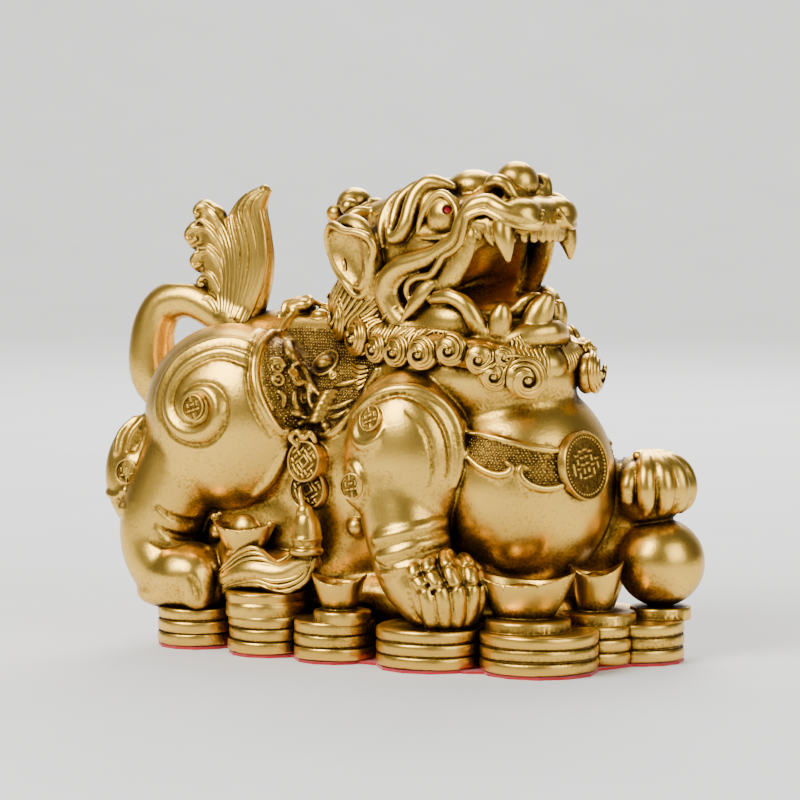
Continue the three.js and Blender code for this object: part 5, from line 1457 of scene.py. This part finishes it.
def medal(name, radius, rim, lines, triangles):
    """A medal's mesh in millimetres, lying about the origin"""
    reach = radius + 1.5
    clay = Clay((-reach, -reach, -2.5), (reach, reach, 2.6), max(0.12, radius / 44))
    clay.disc((0, 0, 0), UP, radius, -2, MEDAL_RIM_TOP, edge=0.3, blend=0.1)
    clay.disc((0, 0, 0), UP, radius - rim, MEDAL_GROUND, 3, edge=0.12, blend=0.2, cut=True)
    for rows in lines:
        clay.limb(rows, blend=0.15, steps=1, kept=1)
    piece = poured(clay, name, triangles, raised=0)
    data = piece.data
    data.transform(((1 / MM, 0, 0, 0), (0, 1 / MM, 0, 0), (0, 0, 1 / MM, 0), (0, 0, 0, 1)))
    spots = np.array([corner.co for corner in data.vertices])
    low = np.clip((0.8 - spots[:, 2]) / 0.3, 0, 1)
    sunk = 0.6 * low * (np.hypot(spots[:, 0], spots[:, 1]) < radius - rim * 0.7)
    data.attributes.new("sunk", "FLOAT", "POINT").data.foreach_set("value", sunk.astype(np.float32))
    bpy.data.objects.remove(piece)
    return data


def laid_medals(name, data, rows):
    """Medals from rows of a place, the way it faces (as the body does, if none) and its turn"""
    places, facings = [], []
    for place, facing, _ in rows:
        if facing is None:
            place = body.settle([place])[0]
            facing = body.probe([place])[1][0]
        places.append(place)
        facings.append(facing)
    turns = [turn for *_, turn in rows]
    return set_out(name, data, places, facings, np.ones((len(rows), 3)), turns)


# The rim of the square hole in the middle of a coin
HOLE_CORNERS = [(1, 1), (1, -1), (-1, -1), (-1, 1), (1, 1)]
HOLE = [
    [(x * 1.3, y * 1.3, 0.6, 0.28) for x, y in pair] for pair in zip(HOLE_CORNERS, HOLE_CORNERS[1:])
]
small_medal = medal("small_medal", 4, 0.55, strokes(2.6, 4, 1.7, 0.34, 5), 3600)
coin_medal = medal("coin_medal", 6.3, 0.7, strokes(4.6, 7, 1.6, 0.38, 9, bare=1.9) + HOLE, 6000)
big_medal = medal("big_medal", 10.2, 0.7, strokes(5.4, 6, 2, 0.4, 2), 12000)
# Each row is the medal's place, the way it faces and its turn in radians
small_rows, coin_rows = [], []
for side in BOTH:
    small_rows.append(((-53.6, -41.4 * side, 61.2), None, 0.3))
    small_rows.append(((-82.6, -35.6 * side, 39.8), (0.05, -side, 0.1), 0.2))
    small_rows.append((on_shoulder([(8, -38.9, 60.4)], side)[0], None, 0.2))
    small_rows.append((on_shoulder([BOSS_FACE], side)[0], (0, -side, 0), 0.2))
    coin_rows += [((x, y * side, z), (lean, -side, 0.1), 0.6) for x, y, z, lean in COIN_PLATES]
small_medals = laid_medals("small_medals", small_medal, small_rows)
pendant_coins = laid_medals("pendant_coins", coin_medal, coin_rows)
body.disc(medal_place, MEDAL_WAY, 10, -7, 0, edge=0.4)
breast_medal = laid_medals("breast_medal", big_medal, [(medal_place, MEDAL_WAY, 0.0)])

# Beads: the stippled ground of the saddle cloth and the breast band, and the big medal's ring.
# The real ones are punched and cast in the brass. Here each is a small bead half sunk in it.

BEAD = 0.4
BEADS_IN_THE_RING = 48
GOLDEN = (1 + 5**0.5) / 2
BEAD_CORNERS = [
    (-1, GOLDEN, 0), (1, GOLDEN, 0), (-1, -GOLDEN, 0), (1, -GOLDEN, 0), (0, -1, GOLDEN),
    (0, 1, GOLDEN), (0, -1, -GOLDEN), (0, 1, -GOLDEN), (GOLDEN, 0, -1), (GOLDEN, 0, 1),
    (-GOLDEN, 0, -1), (-GOLDEN, 0, 1),
]
BEAD_FACES = [
    (0, 11, 5), (0, 5, 1), (0, 1, 7), (0, 7, 10), (0, 10, 11), (1, 5, 9), (5, 11, 4), (11, 10, 2),
    (10, 7, 6), (7, 1, 8), (3, 9, 4), (3, 4, 2), (3, 2, 6), (3, 6, 8), (3, 8, 9), (4, 9, 5),
    (2, 4, 11), (6, 2, 10), (8, 6, 7), (9, 8, 1),
]
bead_data = bpy.data.meshes.new("bead")
bead_data.from_pydata([tuple(unit(corner)) for corner in BEAD_CORNERS], [], BEAD_FACES)
bead_data.shade_smooth()
places = np.vstack(stipple_ground)
depth, out = body.probe(places)
shown = (depth > -0.3) & (head.probe(places)[0] > 0.2)
places, out = places[shown], out[shown]
sizes, turns = np.full((len(places), 3), BEAD), np.arange(len(places)) * 0.7
stipple = set_out("stippled_ground", bead_data, places, out, sizes, turns, unevenness=0.35)
across = unit(np.cross(UP, MEDAL_WAY))
over = np.cross(MEDAL_WAY, across)
turns = np.linspace(0, 2 * math.pi, BEADS_IN_THE_RING, endpoint=False)[:, None]
ring = medal_place + MEDAL_WAY * 0.6 + 8.5 * (np.cos(turns) * across + np.sin(turns) * over)
sizes = np.full((len(ring), 3), BEAD)
bead_ring = set_out("bead_ring", bead_data, ring, [MEDAL_WAY] * len(ring), sizes, turns)

# The finish: the casting is darkened all over, then rubbed back, so the dark patina stays in its
# hollows.
# Each point is marked with how deeply it lies in the hollows, a mark that also carries painted
# shade in recesses, between parts and on undersides, and with how far it stands out.

for x, y, radius in STACKS:
    body.disc((x, y, 0), UP, radius - 0.4, CASTING_BOTTOM - COIN_TOP, -0.2, edge=0.5, blend=0.2)
for place in places:
    body.egg(place, (BEAD,) * 3, blend=0.1, kept=0.6)

# Each pair is how far to look along the surface's direction, and how much that counts
# The deeper a point lies in the hollows, the darker it is: patina kept there, and painted shade in
# the recesses and between parts
PATINA_AND_SHADE_REACHES = [(0.6, 0.35), (1.4, 0.35), (3, 0.28), (6, 0.2)]
PROUD_REACHES = [(0.8, 0.4), (1.6, 0.6)]
# Darker where the surface faces down: painted shade under things
PAINTED_UNDERSIDE_SHADE = 0.12
STIPPLE_DARK = 0.34
STIPPLE_DARK_TO = [(SADDLE_PLAN, 34), (BAND_PLAN, 28)]
# Darker on strand flanks turned from the skin: patina at the roots, and painted shade between the
# strands and the skin
STRAND_ROOT_PATINA_AND_SHADE = 0.7


def depth_at(places):
    """The distance to the nearest surface of all the clay"""
    nearest = np.full(len(places), float(FAR))
    for clay in (body, head, tuft):
        within = clay.holds(places)
        if within.any():
            nearest[within] = np.minimum(nearest[within], clay.probe(places[within])[0])
    return nearest


def marked(piece, strand=False):
    """Each point of the piece gets its marks, 0 to about 1, as two attributes: one for the dark
    oxide kept in its hollows together with painted shade in recesses, between parts and on
    undersides, and proud, for how far it stands out
    """
    data = piece.data
    places, normals = np.empty((2, 3 * len(data.vertices)), np.float32)
    data.vertices.foreach_get("co", places)
    data.vertex_normals.foreach_get("vector", normals)
    places = places.reshape(-1, 3) / MM - (0, 0, COIN_TOP)
    normals = normals.reshape(-1, 3)
    hollow, proud = np.zeros(len(places)), np.zeros(len(places))
    # Patina kept in the hollows, and painted shade where recesses and neighbouring parts close over
    # a point
    for reach, weight in PATINA_AND_SHADE_REACHES:
        hollow += weight * (1 - np.clip(depth_at(places + normals * reach) / reach, 0, 1))
    for reach, weight in PROUD_REACHES:
        proud += weight * (1 - np.clip(-depth_at(places - normals * reach) / reach, 0, 1))
    # Painted shade on surfaces that face down
    hollow += PAINTED_UNDERSIDE_SHADE * np.clip(-normals[:, 2], 0, 1)
    if "sunk" in data.attributes:
        sunk = np.empty(len(places), np.float32)
        data.attributes["sunk"].data.foreach_get("value", sunk)
        hollow += sunk
        data.attributes.remove(data.attributes["sunk"])
    if piece is body_skin:
        aside = np.abs(places[:, 1])
        for plan, far in STIPPLE_DARK_TO:
            hollow += STIPPLE_DARK * (
                inside(plan, places[:, 0], places[:, 2]) & (aside > 8) & (aside < far)
            )
    if strand:
        out = np.zeros_like(places)
        for clay in (body, head, tuft):
            within = clay.holds(places)
            depth, way = clay.probe(places[within])
            out[within] = np.where(np.abs(depth)[:, None] < 3, way, out[within])
        facing = (normals * out).sum(1)
        # Painted shade, with patina, on the strand flanks that turn away from the skin
        hollow += STRAND_ROOT_PATINA_AND_SHADE * np.clip(0.7 - facing, 0, 1)
        proud *= np.clip(facing, 0, 1)
    for label, values in [("hollow", hollow), ("proud", proud)]:
        data.attributes.new(label, "FLOAT", "POINT").data.foreach_set(
            "value", values.astype(np.float32)
        )


SKINS = [
    body_skin, head_skin, tuft_skin, coin_bed, small_medals, pendant_coins, breast_medal, stipple,
    bead_ring,
]
STRANDS = [hair, tuft_strands, tassel, relief]
for piece in [*SKINS, *STRANDS]:
    marked(piece, piece in STRANDS)
    piece.data.materials.clear()
    piece.data.materials.append(brass)
    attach(piece, "root")
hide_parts("casting")


def arithmetic(tree, operation, a, b):
    """One sum of two values or outputs"""
    node = tree.nodes.new("ShaderNodeMath")
    node.operation = operation
    for socket, value in zip(node.inputs, (a, b)):
        if isinstance(value, (int, float)):
            socket.default_value = value
        else:
            tree.links.new(value, socket)
    return node.outputs[0]


def ramp(tree, value, stops):
    """Colours or greys from stops of a place and a tone"""
    node = tree.nodes.new("ShaderNodeValToRGB")
    tree.links.new(value, node.inputs["Fac"])
    while len(node.color_ramp.elements) < len(stops):
        node.color_ramp.elements.new(0.5)
    for element, (place, colour) in zip(node.color_ramp.elements, stops):
        element.position = place
        element.color = (*colour, 1) if isinstance(colour, tuple) else (colour, colour, colour, 1)
    return node.outputs["Color"]


def noise(tree, scale, detail):
    """Noise through the object's own space"""
    where, node = tree.nodes.new("ShaderNodeTexCoord"), tree.nodes.new("ShaderNodeTexNoise")
    node.inputs["Scale"].default_value = scale
    node.inputs["Detail"].default_value = detail
    tree.links.new(where.outputs["Object"], node.inputs["Vector"])
    return node.outputs["Fac"]


def bumped(tree, height, strength, distance):
    """The surface's direction, tilted by a height"""
    node = tree.nodes.new("ShaderNodeBump")
    node.inputs["Strength"].default_value = strength
    node.inputs["Distance"].default_value = distance
    tree.links.new(height, node.inputs["Height"])
    return node.outputs["Normal"]


def shaded(material):
    """A material's node tree and its Principled shader"""
    material.use_nodes = True
    return material.node_tree, material.node_tree.nodes["Principled BSDF"]


# Tones from polished brass on proud parts to dark patina, deepened to near black by painted shade
# in recesses and on undersides
BRASS_TONES = [
    (0.06, (0.80, 0.49, 0.08)), (0.26, (0.50, 0.29, 0.038)), (0.46, (0.20, 0.107, 0.015)),
    (0.75, (0.04, 0.02, 0.005)),
]
BRASS_ROUGHNESS = [(0.08, 0.3), (0.3, 0.38), (0.7, 0.6)]
# The brass's tone, roughness and grain from its marks: patina and polish, with painted shade
# carried in the same mark
patina_and_shade_group = bpy.data.node_groups.new("rubbed_patina", "ShaderNodeTree")
for label, kind, way in [
    ("Hollow", "Float", "INPUT"), ("Proud", "Float", "INPUT"), ("Tone", "Color", "OUTPUT"),
    ("Roughness", "Float", "OUTPUT"), ("Normal", "Vector", "OUTPUT"),
]:
    patina_and_shade_group.interface.new_socket(label, in_out=way, socket_type="NodeSocket" + kind)
marks, patina_and_shade_node = patina_and_shade_group.nodes.new("NodeGroupInput"), patina_and_shade_group.nodes.new("NodeGroupOutput")
mottle = arithmetic(
    patina_and_shade_group, "MULTIPLY", arithmetic(patina_and_shade_group, "SUBTRACT", noise(patina_and_shade_group, 70, 5), 0.5), 0.34
)
sand = noise(patina_and_shade_group, 1150, 3)
pores = arithmetic(patina_and_shade_group, "MULTIPLY", arithmetic(patina_and_shade_group, "SUBTRACT", 0.5, sand), 0.8)
# Darker with patina and painted shade, lighter where proud parts are polished
patina_shade_and_polish = arithmetic(
    patina_and_shade_group,
    "SUBTRACT",
    marks.outputs["Hollow"],
    arithmetic(patina_and_shade_group, "MULTIPLY", marks.outputs["Proud"], 0.3),
)
dark = arithmetic(patina_and_shade_group, "ADD", arithmetic(patina_and_shade_group, "ADD", patina_shade_and_polish, mottle), pores)
patina_and_shade_group.links.new(ramp(patina_and_shade_group, dark, BRASS_TONES), patina_and_shade_node.inputs["Tone"])
patina_and_shade_group.links.new(ramp(patina_and_shade_group, dark, BRASS_ROUGHNESS), patina_and_shade_node.inputs["Roughness"])
patina_and_shade_group.links.new(bumped(patina_and_shade_group, sand, 0.45, 0.00012), patina_and_shade_node.inputs["Normal"])

tree, metal = shaded(brass)
metal.inputs["Metallic"].default_value = 1
patina_and_shade_node = tree.nodes.new("ShaderNodeGroup")
patina_and_shade_node.node_tree = patina_and_shade_group
for label, socket in [("hollow", "Hollow"), ("proud", "Proud")]:
    mark = tree.nodes.new("ShaderNodeAttribute")
    mark.attribute_name = label
    tree.links.new(mark.outputs["Fac"], patina_and_shade_node.inputs[socket])
for output, socket in [("Tone", "Base Color"), ("Roughness", "Roughness"), ("Normal", "Normal")]:
    tree.links.new(patina_and_shade_node.outputs[output], metal.inputs[socket])

# The sole: red felt, cut to the outline of the bed and glued flat under it.
# Its pile is short, and a little worn and faded in places.

FELT_TONES = [(0.3, (0.28, 0.004, 0.008)), (0.55, (0.52, 0.01, 0.018)), (0.75, (0.66, 0.04, 0.04))]
felt_sole = bpy.data.objects["felt_sole"]
felt = bpy.data.materials.new("red_felt")
tree, cloth = shaded(felt)
cloth.inputs["Roughness"].default_value = 0.95
cloth.inputs["Sheen Weight"].default_value = 0.4
pile = noise(tree, 2600, 4)
wear = arithmetic(tree, "MULTIPLY", noise(tree, 60, 3), 0.3)
worn = arithmetic(tree, "ADD", arithmetic(tree, "MULTIPLY", pile, 0.7), wear)
tree.links.new(ramp(tree, worn, FELT_TONES), cloth.inputs["Base Color"])
tree.links.new(bumped(tree, pile, 0.6, 0.0002), cloth.inputs["Normal"])
felt_sole.data.materials.clear()
felt_sole.data.materials.append(felt)

# The eye stones: small faceted stones of red glass, polished on each facet.
# Each is glued into its drilled seat in the eye.

GLASS_TONES = [(0.35, (0.26, 0.002, 0.008)), (0.65, (0.62, 0.012, 0.03))]
glass = bpy.data.materials.new("red_glass_stone")
tree, stone = shaded(glass)
stone.inputs["Roughness"].default_value = 0.06
stone.inputs["IOR"].default_value = 1.55
stone.inputs["Transmission Weight"].default_value = 0.35
stone.inputs["Coat Weight"].default_value = 0.6
tree.links.new(ramp(tree, noise(tree, 900, 2), GLASS_TONES), stone.inputs["Base Color"])
for name in ("right_eye_stone", "left_eye_stone"):
    gem = bpy.data.objects[name]
    gem.data.materials.clear()
    gem.data.materials.append(glass)

# The stage: a wide sweep of pale paper that curves up behind the figure, and four soft lights.
# Neither is part of the figure.

PAPER_TONES = [(0.3, (0.83, 0.83, 0.82)), (0.7, (0.87, 0.87, 0.86))]
world = bpy.data.worlds.new("studio")
bpy.context.scene.world = world
world.use_nodes = True
world.node_tree.nodes["Background"].inputs["Color"].default_value = (1, 0.97, 0.93, 1)
world.node_tree.nodes["Background"].inputs["Strength"].default_value = 0.12

SWEEP_CURVE = [(1.6 + math.sin(a), 1 - math.cos(a)) for a in np.radians(np.arange(10, 91, 10))]
SWEEP = [(-3, 0), (1.6, 0), *SWEEP_CURVE, (2.6, 4)]
away = -Vector((backwards.x, backwards.y, 0)).normalized()
beside = away.cross(Vector(UP))
sweep_points = [
    tuple(away * far + beside * wide + Vector(UP) * high) for far, high in SWEEP for wide in (-4, 4)
]
sweep_faces = [(2 * k, 2 * k + 2, 2 * k + 3, 2 * k + 1) for k in range(len(SWEEP) - 1)]
paper_data = bpy.data.meshes.new("paper_sweep")
paper_data.from_pydata(sweep_points, [], sweep_faces)
paper_data.shade_smooth()
sweep = added("paper_sweep", paper_data)
paper = bpy.data.materials.new("paper")
tree, sheet = shaded(paper)
tree.links.new(ramp(tree, noise(tree, 14, 3), PAPER_TONES), sheet.inputs["Base Color"])
sheet.inputs["Roughness"].default_value = 0.8
sweep.data.materials.append(paper)


def soft_light(name, place, size, power, aim=LOOK_AT):
    """A square lamp, its side in metres and its power in watts"""
    lamp = bpy.data.lights.new(name, "AREA")
    lamp.size = size
    lamp.energy = power
    lit = added(name, lamp)
    lit.location = place
    lit.rotation_euler = (Vector(place) - aim).to_track_quat("Z", "Y").to_euler()


soft_light("key", (-0.3, -0.9, 0.9), 0.7, 22)
soft_light("fill", (1.1, -0.3, 0.6), 0.8, 9)
soft_light("back", (-0.4, 0.9, 0.8), 0.6, 12)
soft_light("wash", away * 1.3 + Vector((0, 0, 2.2)), 1.6, 60, away * 2.6 + Vector((0, 0, 0.2)))
